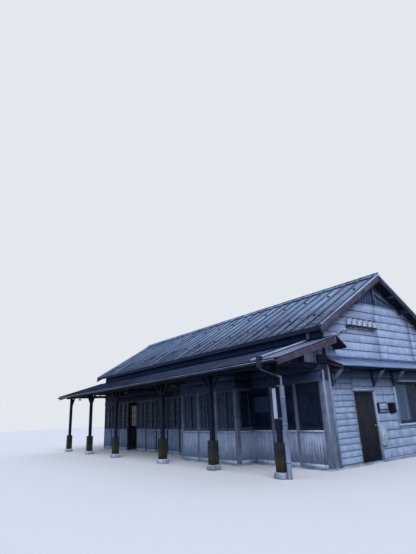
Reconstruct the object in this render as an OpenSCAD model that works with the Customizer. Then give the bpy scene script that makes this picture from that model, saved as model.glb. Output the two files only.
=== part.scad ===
// Small timber railway station: a gabled house beside the platform, with a post-carried
// canopy along its front, a projecting office bay and a pent roof over its near gable door.
// X runs along the platform towards the near gable, Y into the house, Z up. The origin is
// the middle of the house walls at platform level.

/* [House] */
// Length of the house over its end walls
main_len = 14560; // [12740:910:18200]
// Depth of the house over its long walls
main_depth = 5460; // [4550:910:7280]
// Height of the long walls at their outer face
wall_top = 3635; // [3300:5:4200]
// Thickness of the walls
wall_t = 120; // [100:5:150]
// Height of the floor above the platform
floor_z = 40; // [30:5:200]
// Spacing of the wall posts along the platform front
post_pitch = 910; // [900:5:1000]
// Width of a wall post
post_w = 105; // [90:5:120]
// Height of the window sills
sill_z = 930; // [800:10:1100]
// Height of the window and doorway heads
head_z = 2130; // [2000:10:2300]

/* [Main roof] */
// Pitch of the main roof in degrees
roof_pitch = 31; // [25:0.5:38]
// Thickness of the roof covering and its boarding
roof_t = 62; // [40:2:100]
// Height of a rafter
rafter_h = 75; // [60:5:100]
// Width of a rafter
rafter_w = 45; // [36:1:60]
// How far the eaves reach past the long walls
eave_out = 380; // [250:10:600]
// How far the verges reach past the end walls
verge_out = 300; // [200:10:500]
// Height of the bargeboards
barge_h = 170; // [120:5:240]
// Thickness of the bargeboards
barge_t = 30; // [20:1:45]
// Width of a purlin
purlin_w = 105; // [90:5:120]
// How far under the rafters at the side purlins the gable boarding ends
peak_drop = 30; // [10:5:30]

/* [Canopy] */
// Distance from the long wall to the line of canopy posts
canopy_reach = 1820; // [1500:10:2400]
// How far the canopy runs past its posts towards the track
canopy_eave = 430; // [300:10:600]
// Height of the canopy roof where it meets the long wall
canopy_wall_z = 3270; // [3100:5:3400]
// Pitch of the canopy roof in degrees
canopy_pitch = 16.5; // [12:0.5:20]
// How far the canopy passes the near end wall
canopy_near = 410; // [250:10:600]
// How far the canopy passes the far end wall
canopy_far = 600; // [300:10:900]
// Thickness of the canopy covering
canopy_deck = 48; // [30:2:80]
// Height of a canopy rafter
canopy_rafter_h = 62; // [50:2:90]
// Width of a canopy post
canopy_post = 115; // [100:5:150]
// Height of the beam on the posts
beam_h = 150; // [120:5:200]
// Width of the timber sleeve round the foot of a post
sleeve_w = 215; // [180:5:260]
// Height of the top of the sleeve
sleeve_top = 750; // [600:10:1100]
// Width of a post's concrete base
base_w = 290; // [260:5:400]
// Height of a post's concrete base
base_h = 135; // [80:5:200]
// Diameter of the eaves gutter
gutter_d = 110; // [90:5:130]

/* [Office bay] */
// How far the office bay stands out from the long wall
bay_out = 910; // [600:10:1200]
// Distance from the near end wall to the bay
bay_near = 2740; // [2730:5:2900]
// Width of the bay
bay_len = 2980; // [2600:10:3200]

/* [Staff room front] */
// How far the staff room's front stands out from the long wall
room_out = 300; // [200:10:400]

/* [Gable door and window] */
// Distance from the platform corner to the gable door's leaf
door_from = 985; // [950:5:1100]
// Width of the gable door's leaf
door_w = 840; // [760:10:840]
// Height of the top of the gable door's leaf
door_top = 1830; // [1780:10:1950]
// Thickness of the gable door's leaf
door_t = 36; // [30:1:45]
// Clearance round the gable door's leaf
door_gap = 6; // [5:1:8]
// Distance from the platform corner to the gable window
gable_win_from = 3010; // [2950:10:3100]
// Width of the gable window
gable_win_w = 1540; // [1200:10:1640]

/* [Gable pent roof] */
// How far the pent roof stands out from the gable wall
pent_out = 500; // [400:10:600]
// Height of the pent roof at the wall
pent_z = 2720; // [2650:10:2800]
// How far the pent roof falls to its edge
pent_fall = 230; // [150:10:260]
// Thickness of the pent roof
pent_t = 36; // [25:1:50]

/* [Hidden] */

half_len = main_len / 2;
half_dep = main_depth / 2;
near_x = half_len;
far_x = -half_len;
front_y = -half_dep;
rear_y = half_dep;
plinth_out = 25;
bay_near_x = near_x - bay_near;
bay_far_x = bay_near_x - bay_len;
bay_front_y = front_y - bay_out;
room_front_y = front_y - room_out;
roof_tan = tan(roof_pitch);
roof_tv = roof_t / cos(roof_pitch);
rafter_tv = rafter_h / cos(roof_pitch);
deck_rise = rafter_tv + roof_tv;
canopy_tan = tan(canopy_pitch);
canopy_edge = canopy_reach + canopy_eave;
post_line_y = front_y - canopy_reach;
beam_top_z = canopy_wall_z - canopy_reach * canopy_tan - canopy_deck - canopy_rafter_h;
beam_bottom_z = beam_top_z - beam_h;
post_back = 8;
frame_back = 15;
frame_b = 45;
frame_d = 90;
sash_b = 40;
sash_d = 30;
glass_t = 5;
track_in = 12;
seat_fit = 0.05;
rafter_pitch = post_pitch / 2;
arc = 48;

// Grid line k half bays from the near end wall
function grid_x(k) = near_x - k * post_pitch;

// Underside of the rafters above the line y, and the top of what carries them there
function rafter_under(y) = wall_top + (half_dep - abs(y)) * roof_tan;
function wall_head(y) = rafter_under(y) - seat_fit;

// Underside of the canopy rafters at the distance d out from the long wall
function canopy_under(d) = canopy_wall_z - canopy_deck - canopy_rafter_h - d * canopy_tan;
function canopy_head(d) = canopy_under(d) - seat_fit;

// Extrudes a profile drawn in Y and Z from x0 to x1
module along_x(x0, x1)
    translate([x0, 0, 0])
        rotate([90, 0, 90])
            linear_extrude(x1 - x0) children();

// Upright block between two corners
module block(a, b)
    translate(a) cube(b - a);

// Sliding window in the plane of X and Z: a frame and sashes side by side on two tracks
module window_frame(w, h, sashes = 2) {
    inner_w = w - 2 * frame_b;
    inner_h = h - 2 * frame_b;
    sash_w = sash_width(inner_w, sashes);
    step = sashes > 1 ? (inner_w - sash_w) / (sashes - 1) : 0;
    difference() {
        cube([w, frame_d, h]);
        translate([frame_b, -1, frame_b]) cube([inner_w, frame_d + 2, inner_h]);
    }
    for (i = [0 : sashes - 1])
        translate([frame_b + i * step, sash_track(i), frame_b])
            difference() {
                cube([sash_w, sash_d, inner_h]);
                translate([sash_b, -1, sash_b])
                    cube([sash_w - 2 * sash_b, sash_d + 2, inner_h - 2 * sash_b]);
            }
}

// Width of each of the sashes that close the clear width inner_w
function sash_width(inner_w, sashes) =
    sashes > 1 ? inner_w / sashes + sash_b / 2 : inner_w;

// Depth of the track that sash i runs in
function sash_track(i) = i % 2 == 0 ? track_in : track_in + sash_d;

// Panes of the window above, one in each sash
module window_panes(w, h, sashes = 2) {
    inner_w = w - 2 * frame_b;
    inner_h = h - 2 * frame_b;
    sash_w = sash_width(inner_w, sashes);
    step = sashes > 1 ? (inner_w - sash_w) / (sashes - 1) : 0;
    for (i = [0 : sashes - 1])
        translate([
            frame_b + i * step + sash_b,
            sash_track(i) + (sash_d - glass_t) / 2,
            frame_b + sash_b
        ])
            cube([sash_w - 2 * sash_b, glass_t, inner_h - 2 * sash_b]);
}

// Platform front between the bay and the far end: half bays from the far corner
front_bays = floor((bay_far_x - far_x) / post_pitch);
gate_bay = 3;

function front_post_x(i) = i == 0 ? far_x + post_w / 2 : far_x + i * post_pitch;
function bay_x0(i) = front_post_x(i) + post_w / 2;
function bay_x1(i) = front_post_x(i + 1) - post_w / 2;

module floor_slab() {
    color("gray") {
        block([far_x - plinth_out, front_y - plinth_out, 0],
              [near_x + plinth_out, rear_y + plinth_out, floor_z]);
        block([bay_far_x - plinth_out, bay_front_y - plinth_out, 0],
              [bay_near_x + plinth_out, front_y, floor_z]);
        block([bay_near_x, room_front_y - plinth_out, 0],
              [near_x + plinth_out, front_y, floor_z]);
    }
}

module front_posts() {
    color("#5b5148")
        for (i = [0 : front_bays])
            translate([front_post_x(i) - post_w / 2, front_y + post_back, floor_z])
                cube([post_w, post_w, head_z - floor_z]);
}

module front_dado() {
    color("#cfd6e2") {
        for (i = [0 : front_bays - 1])
            if (i != gate_bay)
                block([bay_x0(i), front_y, floor_z],
                      [bay_x1(i), front_y + wall_t, sill_z]);
        block([bay_x0(front_bays), front_y, floor_z],
              [bay_far_x + post_w, front_y + wall_t, head_z]);
    }
}

// Long wall above the heads, its top following the rafters
module long_wall_top()
    along_x(far_x, near_x)
        polygon([
            [front_y, head_z],
            [front_y + wall_t, head_z],
            [front_y + wall_t, wall_head(front_y + wall_t)],
            [front_y, wall_head(front_y)]
        ]);

module front_upper_wall() {
    color("#4a4744") long_wall_top();
}

// Places a window in each half bay of the platform front
module front_window_places()
    for (i = [0 : front_bays - 1])
        if (i != gate_bay)
            translate([bay_x0(i), front_y + frame_back, sill_z]) {
                $bay_clear = bay_x1(i) - bay_x0(i);
                children();
            }

module front_windows() {
    color("#7c7f80")
        front_window_places() window_frame($bay_clear, head_z - sill_z);
}

module front_glass() {
    color("#5f7890")
        front_window_places() window_panes($bay_clear, head_z - sill_z);
}

// Office bay: corner posts and two posts between the front windows
bay_mid = 2;
bay_light = (bay_len - (bay_mid + 2) * post_w) / (bay_mid + 1);
function bay_post_x(i) = round(bay_far_x + i * (bay_light + post_w));
function bay_clear(i) = bay_post_x(i + 1) - bay_post_x(i) - post_w;
panel_back = 5;
bay_return = bay_out - post_w;

module bay_posts() {
    color("#b9c1cc")
        for (i = [0 : bay_mid + 1])
            translate([bay_post_x(i), bay_front_y, floor_z])
                cube([post_w, post_w, head_z - floor_z]);
}

module bay_dado() {
    color("#cfd6e2") {
        for (i = [0 : bay_mid])
            block([bay_post_x(i) + post_w, bay_front_y, floor_z],
                  [bay_post_x(i + 1), bay_front_y + post_w - panel_back, sill_z]);
        for (x = [bay_far_x, bay_near_x - post_w])
            block([x, bay_front_y + post_w, floor_z], [x + post_w, front_y, sill_z]);
    }
}

// Wall over the windows of a part that stands out by reach, from x0 to x1
module out_wall_top(x0, x1, reach, depth)
    along_x(x0, x1)
        polygon([
            [front_y - reach, head_z],
            [front_y - reach + depth, head_z],
            [front_y - reach + depth, canopy_head(reach - depth)],
            [front_y - reach, canopy_head(reach)]
        ]);

module bay_upper_wall() {
    color("#55504b") {
        out_wall_top(bay_far_x, bay_near_x, bay_out, post_w);
        for (x = [bay_far_x, bay_near_x - post_w])
            along_x(x, x + post_w)
                polygon([
                    [bay_front_y + post_w, head_z],
                    [front_y, head_z],
                    [front_y, canopy_head(0)],
                    [bay_front_y + post_w, canopy_head(bay_out - post_w)]
                ]);
    }
}

module bay_windows() {
    color("#9aa3ad") {
        for (i = [0 : bay_mid])
            translate([bay_post_x(i) + post_w, bay_front_y + post_back, sill_z])
                window_frame(bay_clear(i), head_z - sill_z);
        for (x = [bay_far_x + frame_d, bay_near_x])
            translate([x, bay_front_y + post_w, sill_z])
                rotate([0, 0, 90])
                    window_frame(bay_return, head_z - sill_z, 1);
    }
}

module bay_glass() {
    color("#5f7890") {
        for (i = [0 : bay_mid])
            translate([bay_post_x(i) + post_w, bay_front_y + post_back, sill_z])
                window_panes(bay_clear(i), head_z - sill_z);
        for (x = [bay_far_x + frame_d, bay_near_x])
            translate([x, bay_front_y + post_w, sill_z])
                rotate([0, 0, 90])
                    window_panes(bay_return, head_z - sill_z, 1);
    }
}

// Staff room front between the bay and the near corner
room_lights = 3;
room_len = near_x - bay_near_x;
room_light = (room_len - room_lights * post_w) / room_lights;
function room_post_x(i) = round(bay_near_x + (i + 1) * room_light + i * post_w);
function room_light_x(i) = i == 0 ? bay_near_x : room_post_x(i - 1) + post_w;

module room_posts() {
    color("#b4bbc4") {
        for (i = [0 : room_lights - 2])
            translate([room_post_x(i), room_front_y, floor_z])
                cube([post_w, post_w, head_z - floor_z]);
        block([near_x - post_w, room_front_y, floor_z],
              [near_x, front_y + wall_t, head_z]);
        block([bay_near_x - post_w, front_y, floor_z],
              [bay_near_x, front_y + wall_t, head_z]);
    }
}

module room_dado() {
    color("#cfd6e2")
        for (i = [0 : room_lights - 1])
            block([room_light_x(i), room_front_y, floor_z],
                  [room_post_x(i), room_front_y + post_w, sill_z]);
}

module room_upper_wall() {
    color("#55504b") {
        out_wall_top(bay_near_x, near_x, room_out, post_w);
        along_x(near_x - post_w, near_x)
            polygon([
                [room_front_y + post_w, head_z],
                [front_y, head_z],
                [front_y, canopy_head(0)],
                [room_front_y + post_w, canopy_head(room_out - post_w)]
            ]);
    }
}

module room_windows() {
    color("#8d949b")
        for (i = [0 : room_lights - 1])
            translate([room_light_x(i), room_front_y + post_back, sill_z])
                window_frame(room_post_x(i) - room_light_x(i), head_z - sill_z, 1);
}

module room_glass() {
    color("#3f566b")
        for (i = [0 : room_lights - 1])
            translate([room_light_x(i), room_front_y + post_back, sill_z])
                window_panes(room_post_x(i) - room_light_x(i), head_z - sill_z, 1);
}

// Near gable wall, split beside and over its door
door_y0 = front_y + door_from;
door_y1 = door_y0 + door_w;
jamb_t = 40;
door_hole_y0 = door_y0 - door_gap - jamb_t;
door_hole_y1 = door_y1 + door_gap + jamb_t;
door_hole_top = door_top + door_gap + jamb_t;
wall_y0 = front_y + wall_t;
wall_y1 = rear_y - wall_t;
win_y0 = front_y + gable_win_from;
win_y1 = win_y0 + gable_win_w;

module near_gable_front() {
    color("#cdd5e3")
        block([near_x - wall_t, wall_y0, floor_z],
              [near_x, door_hole_y0, door_hole_top]);
}

module near_gable_rear() {
    color("#cdd5e3")
        difference() {
            block([near_x - wall_t, door_hole_y1, floor_z],
                  [near_x, wall_y1, door_hole_top]);
            block([near_x - wall_t - 1, win_y0, sill_z],
                  [near_x + 1, win_y1, door_hole_top + 1]);
        }
}

// Outline of a gable wall between the heights z0 and z1, under the rafters
module gable_band(z0, z1) {
    y_at_z1 = half_dep - max(0, (z1 - wall_top) / roof_tan);
    y_top = min(y_at_z1, wall_y1);
    y_base = min(half_dep - max(0, (z0 - wall_top) / roof_tan), wall_y1);
    polygon([
        [-y_base, z0],
        [y_base, z0],
        if (y_base >= wall_y1) [wall_y1, wall_head(wall_y1)],
        [y_top, z1],
        [-y_top, z1],
        if (y_base >= wall_y1) [-wall_y1, wall_head(wall_y1)]
    ]);
}

module near_gable_top() {
    color("#cdd5e3")
        difference() {
            along_x(near_x - wall_t, near_x) gable_band(door_hole_top, peak_z);
            block([near_x - wall_t - 1, win_y0, door_hole_top - 1],
                  [near_x + 1, win_y1, head_z]);
            purlin_notches();
        }
}

// Panel above the boarding, between the purlins and set back behind the wall face
peak_back = 30;
peak_z = rafter_under(half_dep / 2) - peak_drop;

module peak_panel(x0, x1) {
    y_side = half_dep / 2 - purlin_w / 2 - notch_fit;
    y_beam = purlin_w / 2 + notch_fit;
    z_beam = rafter_under(0) - purlin_h;
    along_x(x0, x1)
        polygon([
            [-y_side, peak_z],
            [y_side, peak_z],
            [y_side, wall_head(y_side)],
            [y_beam, wall_head(y_beam)],
            [y_beam, z_beam],
            [-y_beam, z_beam],
            [-y_beam, wall_head(y_beam)],
            [-y_side, wall_head(y_side)]
        ]);
}

module near_peak() {
    color("#5a544f") peak_panel(near_x - wall_t, near_x - peak_back);
}

far_win_in = 120;
far_win_y = [front_y + main_depth / 4 - gable_win_w / 2 + far_win_in,
             rear_y - main_depth / 4 - gable_win_w / 2 - far_win_in];

module far_gable_wall() {
    color("#cdd5e3")
        difference() {
            along_x(far_x, far_x + wall_t) gable_band(floor_z, peak_z);
            for (y = far_win_y)
                block([far_x - 1, y, sill_z],
                      [far_x + wall_t + 1, y + gable_win_w, head_z]);
            purlin_notches();
        }
}

module far_peak() {
    color("#5a544f") peak_panel(far_x + peak_back, far_x + wall_t);
}

module gable_windows() {
    color("#7c7f80") {
        translate([near_x - frame_back, win_y0, sill_z])
            rotate([0, 0, 90]) window_frame(gable_win_w, head_z - sill_z);
        for (y = far_win_y)
            translate([far_x + frame_back, y + gable_win_w, sill_z])
                rotate([0, 0, -90]) window_frame(gable_win_w, head_z - sill_z);
    }
}

module gable_glass() {
    color("#5f7890") {
        translate([near_x - frame_back, win_y0, sill_z])
            rotate([0, 0, 90]) window_panes(gable_win_w, head_z - sill_z);
        for (y = far_win_y)
            translate([far_x + frame_back, y + gable_win_w, sill_z])
                rotate([0, 0, -90]) window_panes(gable_win_w, head_z - sill_z);
    }
}

// Rear wall: posts on whole bays, an open entrance and a window in each other bay
rear_bays = round(main_len / (2 * post_pitch));
rear_pitch = (main_len - post_w) / rear_bays;
entrance_bay = 1;
function rear_post_x(i) = round(far_x + i * rear_pitch);
function rear_clear(i) = rear_post_x(i + 1) - rear_post_x(i) - post_w;

module rear_posts() {
    color("#5b5148")
        for (i = [0 : rear_bays])
            translate([rear_post_x(i), rear_y - post_back - post_w, floor_z])
                cube([post_w, post_w, head_z - floor_z]);
}

module rear_dado() {
    color("#cfd6e2")
        for (i = [0 : rear_bays - 1])
            if (i != entrance_bay)
                block([rear_post_x(i) + post_w, rear_y - wall_t, floor_z],
                      [rear_post_x(i + 1), rear_y, sill_z]);
}

module rear_upper_wall() {
    color("#cdd5e3") mirror([0, 1, 0]) long_wall_top();
}

module rear_window_places()
    for (i = [0 : rear_bays - 1])
        if (i != entrance_bay)
            translate([rear_post_x(i + 1), rear_y - frame_back, sill_z])
                rotate([0, 0, 180]) {
                    $rear_clear = rear_clear(i);
                    children();
                }

module rear_windows() {
    color("#7c7f80") rear_window_places() window_frame($rear_clear, head_z - sill_z);
}

module rear_glass() {
    color("#5f7890") rear_window_places() window_panes($rear_clear, head_z - sill_z);
}

// Purlins and ridge beam run through both gables and show under the verges
purlin_h = 150;
purlin_y = [-half_dep / 2, half_dep / 2];
purlin_end = verge_out - barge_t;
notch_fit = 0.5;

module purlin_section(y, grow = 0)
    polygon([
        [y - purlin_w / 2 - grow, rafter_under(y) - purlin_h],
        [y + purlin_w / 2 + grow, rafter_under(y) - purlin_h],
        [y + purlin_w / 2 + grow, wall_head(y + purlin_w / 2 + grow)],
        if (abs(y) < purlin_w / 2) [0, wall_head(0)],
        [y - purlin_w / 2 - grow, wall_head(y - purlin_w / 2 - grow)]
    ]);

module purlin_notches()
    along_x(far_x - 1, near_x + 1)
        for (y = [0, purlin_y[0], purlin_y[1]])
            purlin_section(y, notch_fit);

module purlins() {
    color("#5a4c41")
        along_x(far_x - purlin_end, near_x + purlin_end)
            for (y = [0, purlin_y[0], purlin_y[1]])
                purlin_section(y);
}

// Rafters of one slope, joined at their feet by the batten along the eaves
batten_w = 40;
rafter_count = floor((main_len + 2 * verge_out - 2 * barge_t - rafter_w) / rafter_pitch);
rafter_step = (main_len + 2 * verge_out - 2 * barge_t - rafter_w) / rafter_count;
eave_y = half_dep + eave_out;
deck_out = 25;

module rafter_profile(y0, y1)
    polygon([
        [-y1, rafter_under(y1)],
        [-y0, rafter_under(y0)],
        [-y0, rafter_under(y0) + rafter_tv],
        [-y1, rafter_under(y1) + rafter_tv]
    ]);

module slope_rafters() {
    x0 = far_x - verge_out + barge_t;
    for (i = [0 : rafter_count])
        along_x(x0 + i * rafter_step, x0 + i * rafter_step + rafter_w)
            rafter_profile(0, eave_y);
    along_x(x0, -x0) rafter_profile(eave_y - batten_w, eave_y);
}

module front_rafters() {
    color("#5a4c41") slope_rafters();
}

module rear_rafters() {
    color("#5a4c41") mirror([0, 1, 0]) slope_rafters();
}

module slope_deck()
    along_x(far_x - verge_out, near_x + verge_out)
        polygon([
            [-eave_y - deck_out, rafter_under(eave_y + deck_out) + rafter_tv],
            [0, rafter_under(0) + rafter_tv],
            [0, rafter_under(0) + deck_rise],
            [-eave_y - deck_out, rafter_under(eave_y + deck_out) + deck_rise]
        ]);

module front_roof() {
    color("#8d97aa") slope_deck();
}

module rear_roof() {
    color("#8d97aa") mirror([0, 1, 0]) slope_deck();
}

// Folded ridge cap with a round roll along its top
cap_w = 150;
cap_t = 12;
roll_d = 70;
roll_up = 14;

module ridge_cap() {
    z0 = rafter_under(0) + deck_rise + seat_fit;
    color("#98a1b3")
        along_x(far_x - verge_out, near_x + verge_out)
            difference() {
                union() {
                    polygon([
                        [-cap_w, z0 - cap_w * roof_tan],
                        [0, z0],
                        [cap_w, z0 - cap_w * roof_tan],
                        [cap_w, z0 - cap_w * roof_tan + cap_t / cos(roof_pitch)],
                        [0, z0 + cap_t / cos(roof_pitch)],
                        [-cap_w, z0 - cap_w * roof_tan + cap_t / cos(roof_pitch)]
                    ]);
                    translate([0, z0 + roll_up]) circle(d = roll_d, $fn = arc);
                }
                polygon([
                    [-cap_w, z0 - cap_w * roof_tan],
                    [0, z0],
                    [cap_w, z0 - cap_w * roof_tan]
                ]);
            }
}

// Bargeboards close the ends of the roof, in pairs that meet under the ridge
barge_y = eave_y + 20;

module bargeboards() {
    color("#6a4a3c") {
        along_x(near_x + verge_out - barge_t, near_x + verge_out) barge_pair();
        along_x(far_x - verge_out, far_x - verge_out + barge_t) barge_pair();
    }
}

module barge_pair()
    for (side = [-1, 1])
        polygon([
            [side * barge_y, rafter_under(barge_y) + rafter_tv - barge_h],
            [0, rafter_under(0) + rafter_tv - barge_h],
            [0, rafter_under(0) + rafter_tv],
            [side * barge_y, rafter_under(barge_y) + rafter_tv]
        ]);

// Canopy posts stand on the grid; the near one is set in from the gable face
canopy_marks = [0, 3, 6, 10, 13, 16];
near_post_in = 150;
function canopy_post_x(i) =
    i == 0 ? near_x - near_post_in
    : i == len(canopy_marks) - 1 ? far_x + canopy_post / 2
    : grid_x(canopy_marks[i]);

module at_canopy_posts()
    for (i = [0 : len(canopy_marks) - 1])
        translate([canopy_post_x(i), post_line_y, 0]) children();

// Upright square block centred on the z axis
module stud(w, z0, z1)
    translate([-w / 2, -w / 2, z0]) cube([w, w, z1 - z0]);

module canopy_bases() {
    color("#c3c8d0")
        at_canopy_posts()
            stud(base_w, 0, base_h);
}

module canopy_sleeves() {
    color("#5c5a48")
        at_canopy_posts()
            difference() {
                stud(sleeve_w, base_h, sleeve_top);
                stud(canopy_post, base_h - 1, sleeve_top + 1);
            }
}

module canopy_posts() {
    color("#4a4038")
        at_canopy_posts()
            stud(canopy_post, base_h, beam_bottom_z);
}

beam_w = canopy_post;

module canopy_beam() {
    color("#4a4038")
        along_x(far_x - canopy_far + barge_t, near_x + canopy_near - barge_t)
            polygon([
                [post_line_y - beam_w / 2, beam_bottom_z],
                [post_line_y + beam_w / 2, beam_bottom_z],
                [post_line_y + beam_w / 2, canopy_head(canopy_reach - beam_w / 2)],
                [post_line_y - beam_w / 2, canopy_head(canopy_reach + beam_w / 2)]
            ]);
}

// Tie beams from the beam back to the wall behind each post
tie_w = 90;
tie_h = 120;
function wall_behind(x) =
    x - tie_w / 2 > bay_near_x ? room_front_y
    : x + tie_w / 2 > bay_far_x ? bay_front_y
    : front_y;

module canopy_ties() {
    color("#4a4038")
        for (i = [0 : len(canopy_marks) - 1])
            block([canopy_post_x(i) - tie_w / 2, post_line_y + beam_w / 2, beam_bottom_z],
                  [canopy_post_x(i) + tie_w / 2, wall_behind(canopy_post_x(i)),
                   beam_bottom_z + tie_h]);
}

// Braces rise from each post to the beam on both sides
brace_reach = 420;
brace_w = 75;
brace_t = 60;

module brace(side)
    translate([side * canopy_post / 2, brace_t / 2, beam_bottom_z])
        rotate([90, 0, 0])
            linear_extrude(brace_t)
                polygon([
                    [0, -brace_reach],
                    [side * brace_reach, 0],
                    [side * (brace_reach - brace_w * sqrt(2)), 0],
                    [0, -brace_reach + brace_w * sqrt(2)]
                ]);

module canopy_braces() {
    color("#4a4038")
        for (i = [0 : len(canopy_marks) - 1])
            translate([canopy_post_x(i), post_line_y, 0]) {
                if (i > 0) brace(1);
                if (i < len(canopy_marks) - 1) brace(-1);
            }
}

canopy_x0 = far_x - canopy_far;
canopy_x1 = near_x + canopy_near;
canopy_span = canopy_x1 - canopy_x0 - 2 * barge_t - rafter_w;
canopy_rafter_count = floor(canopy_span / rafter_pitch);
canopy_rafter_step = canopy_span / canopy_rafter_count;
rafter_foot = canopy_edge - 20;

module canopy_rafter_profile(d0, d1)
    polygon([
        [front_y - d1, canopy_under(d1)],
        [front_y - d0, canopy_under(d0)],
        [front_y - d0, canopy_under(d0) + canopy_rafter_h],
        [front_y - d1, canopy_under(d1) + canopy_rafter_h]
    ]);

module canopy_rafters() {
    x0 = canopy_x0 + barge_t;
    color("#5a4c41") {
        for (i = [0 : canopy_rafter_count])
            along_x(x0 + i * canopy_rafter_step, x0 + i * canopy_rafter_step + rafter_w)
                canopy_rafter_profile(0, rafter_foot);
        along_x(x0, canopy_x1 - barge_t)
            canopy_rafter_profile(rafter_foot - batten_w, rafter_foot);
    }
}

module canopy_roof() {
    color("#8a93a6")
        along_x(canopy_x0, canopy_x1)
            polygon([
                [front_y - canopy_edge, canopy_under(canopy_edge) + canopy_rafter_h],
                [front_y, canopy_under(0) + canopy_rafter_h],
                [front_y, canopy_wall_z],
                [front_y - canopy_edge, canopy_wall_z - canopy_edge * canopy_tan]
            ]);
}

// Short slope that closes the near end of the canopy behind the wall corner
return_len = 400;
return_pitch = 35;

module canopy_return() {
    color("#8a93a6")
        along_x(near_x, canopy_x1)
            polygon([
                [front_y, canopy_under(0) + canopy_rafter_h],
                [front_y, canopy_wall_z],
                [front_y + return_len, canopy_wall_z - return_len * tan(return_pitch)],
                [front_y + return_len,
                 canopy_wall_z - return_len * tan(return_pitch) - canopy_deck]
            ]);
}

// Bargeboard of the canopy, a little narrower at its foot
gutter_in = 20;
canopy_barge_foot = canopy_edge - gutter_in - 5;
barge_foot_h = 0.8 * barge_h;

module canopy_barge_profile()
    polygon([
        [front_y - canopy_barge_foot, canopy_under(canopy_barge_foot) + canopy_rafter_h],
        [front_y - canopy_barge_foot,
         canopy_under(canopy_barge_foot) + canopy_rafter_h - barge_foot_h],
        [front_y, canopy_under(0) + canopy_rafter_h - barge_h],
        [front_y, canopy_under(0) + canopy_rafter_h]
    ]);

module canopy_bargeboards() {
    color("#7a5040") {
        along_x(canopy_x1 - barge_t, canopy_x1) canopy_barge_profile();
        along_x(canopy_x0, canopy_x0 + barge_t) canopy_barge_profile();
    }
}

// Half-round gutter hung under the canopy edge
gutter_t = 3;
gutter_drop = 12;
gutter_y = front_y - canopy_edge - gutter_d / 2 + gutter_in;
gutter_z = canopy_under(canopy_edge) + canopy_rafter_h - gutter_drop;

module canopy_gutter() {
    color("#9aa2ab")
        along_x(canopy_x0, canopy_x1)
            translate([gutter_y, gutter_z])
                difference() {
                    circle(d = gutter_d, $fn = arc);
                    circle(d = gutter_d - 2 * gutter_t, $fn = arc);
                    translate([-gutter_d, 0]) square([2 * gutter_d, gutter_d]);
                }
}

// Downpipe: a neck from the gutter's outlet box, and a drop clipped to the near post
pipe_d = 110;
neck_d = 50;
pipe_wall = 4;
elbow_more = 6;
pipe_sunk = 5;
pipe_off = 5;
pipe_x = canopy_post_x(0) + max(base_w, sleeve_w) / 2 + pipe_off + pipe_d / 2;
outlet_in = 110;
outlet_x = near_x - outlet_in;
outlet_w = 130;
outlet_out = 10;
outlet_drop = 70;
outlet_rise = 125;
neck_z = [gutter_z - gutter_d / 2 - outlet_drop, 2370, 2190];
pipe_drop = 205;
pipe_top = neck_z[2] - pipe_drop;
clip_z = [1250, 1980];
clip_h = 30;
clip_w = 40;

// Round pipe through a list of points, with a fuller elbow where it turns
module bar_through(points, d) {
    for (i = [0 : len(points) - 2]) {
        step = points[i + 1] - points[i];
        run = norm(step);
        translate(points[i])
            rotate([0, acos(step[2] / run), atan2(step[1], step[0])])
                cylinder(d = d, h = run, $fn = arc);
        if (i > 0) translate(points[i]) sphere(d = d + elbow_more, $fn = arc);
    }
}

// Open box round the gutter that gathers its water
module rain_head() {
    y0 = gutter_y - gutter_d / 2 - outlet_out;
    y1 = front_y - canopy_edge - pipe_wall;
    z1 = gutter_z + outlet_rise;
    difference() {
        block([outlet_x - outlet_w / 2, y0, neck_z[0]], [outlet_x + outlet_w / 2, y1, z1]);
        block([outlet_x - outlet_w / 2 + pipe_wall, y0 + pipe_wall, neck_z[0] + 2 * pipe_sunk],
              [outlet_x + outlet_w / 2 - pipe_wall, y1 - pipe_wall, z1 + 1]);
        along_x(outlet_x - outlet_w, outlet_x + outlet_w)
            translate([gutter_y, gutter_z]) circle(d = gutter_d, $fn = arc);
    }
}

module downpipe() {
    neck = [
        [outlet_x, gutter_y, neck_z[0] + pipe_sunk],
        [outlet_x, gutter_y, neck_z[1]],
        [pipe_x, post_line_y, neck_z[2]],
        [pipe_x, post_line_y, pipe_top - pipe_sunk]
    ];
    color("#aeb4bb") {
        bar_through(neck, neck_d);
        rain_head();
        translate([pipe_x, post_line_y, 0])
            difference() {
                cylinder(d = pipe_d, h = pipe_top, $fn = arc);
                translate([0, 0, -1])
                    cylinder(d = pipe_d - 2 * pipe_wall, h = pipe_top - 2 * pipe_sunk, $fn = arc);
            }
        for (z = clip_z)
            block([canopy_post_x(0) + canopy_post / 2, post_line_y - clip_w / 2, z],
                  [pipe_x - pipe_d / 2 + pipe_wall / 2, post_line_y + clip_w / 2, z + clip_h]);
    }
}

// Boarded panel over the near tie beam, from a short strut to the staff room's wall
strut_w = 105;
strut_t = 75;
infill_t = 30;
infill_out = 725;

module end_infill() {
    x = canopy_post_x(0);
    z0 = beam_bottom_z + tie_h;
    y0 = front_y - infill_out;
    y1 = room_front_y;
    color("#cfd6e2")
        along_x(x - infill_t / 2, x + infill_t / 2)
            polygon([
                [y0, z0],
                [y1, z0],
                [y1, canopy_head(front_y - y1)],
                [y0, canopy_head(front_y - y0)]
            ]);
    color("#4a4038")
        along_x(x - strut_t / 2, x + strut_t / 2)
            polygon([
                [y0 - strut_w, z0],
                [y0, z0],
                [y0, canopy_head(front_y - y0)],
                [y0 - strut_w, canopy_head(front_y - y0 + strut_w)]
            ]);
}

// Pent roof along the near gable wall
module pent_roof() {
    color("#9aa6b8")
        translate([near_x, rear_y, 0])
            rotate([90, 0, 0])
                linear_extrude(main_depth)
                    polygon([
                        [0, pent_z],
                        [pent_out, pent_z - pent_fall],
                        [pent_out, pent_z - pent_fall - pent_t],
                        [0, pent_z - pent_t]
                    ]);
}

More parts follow.
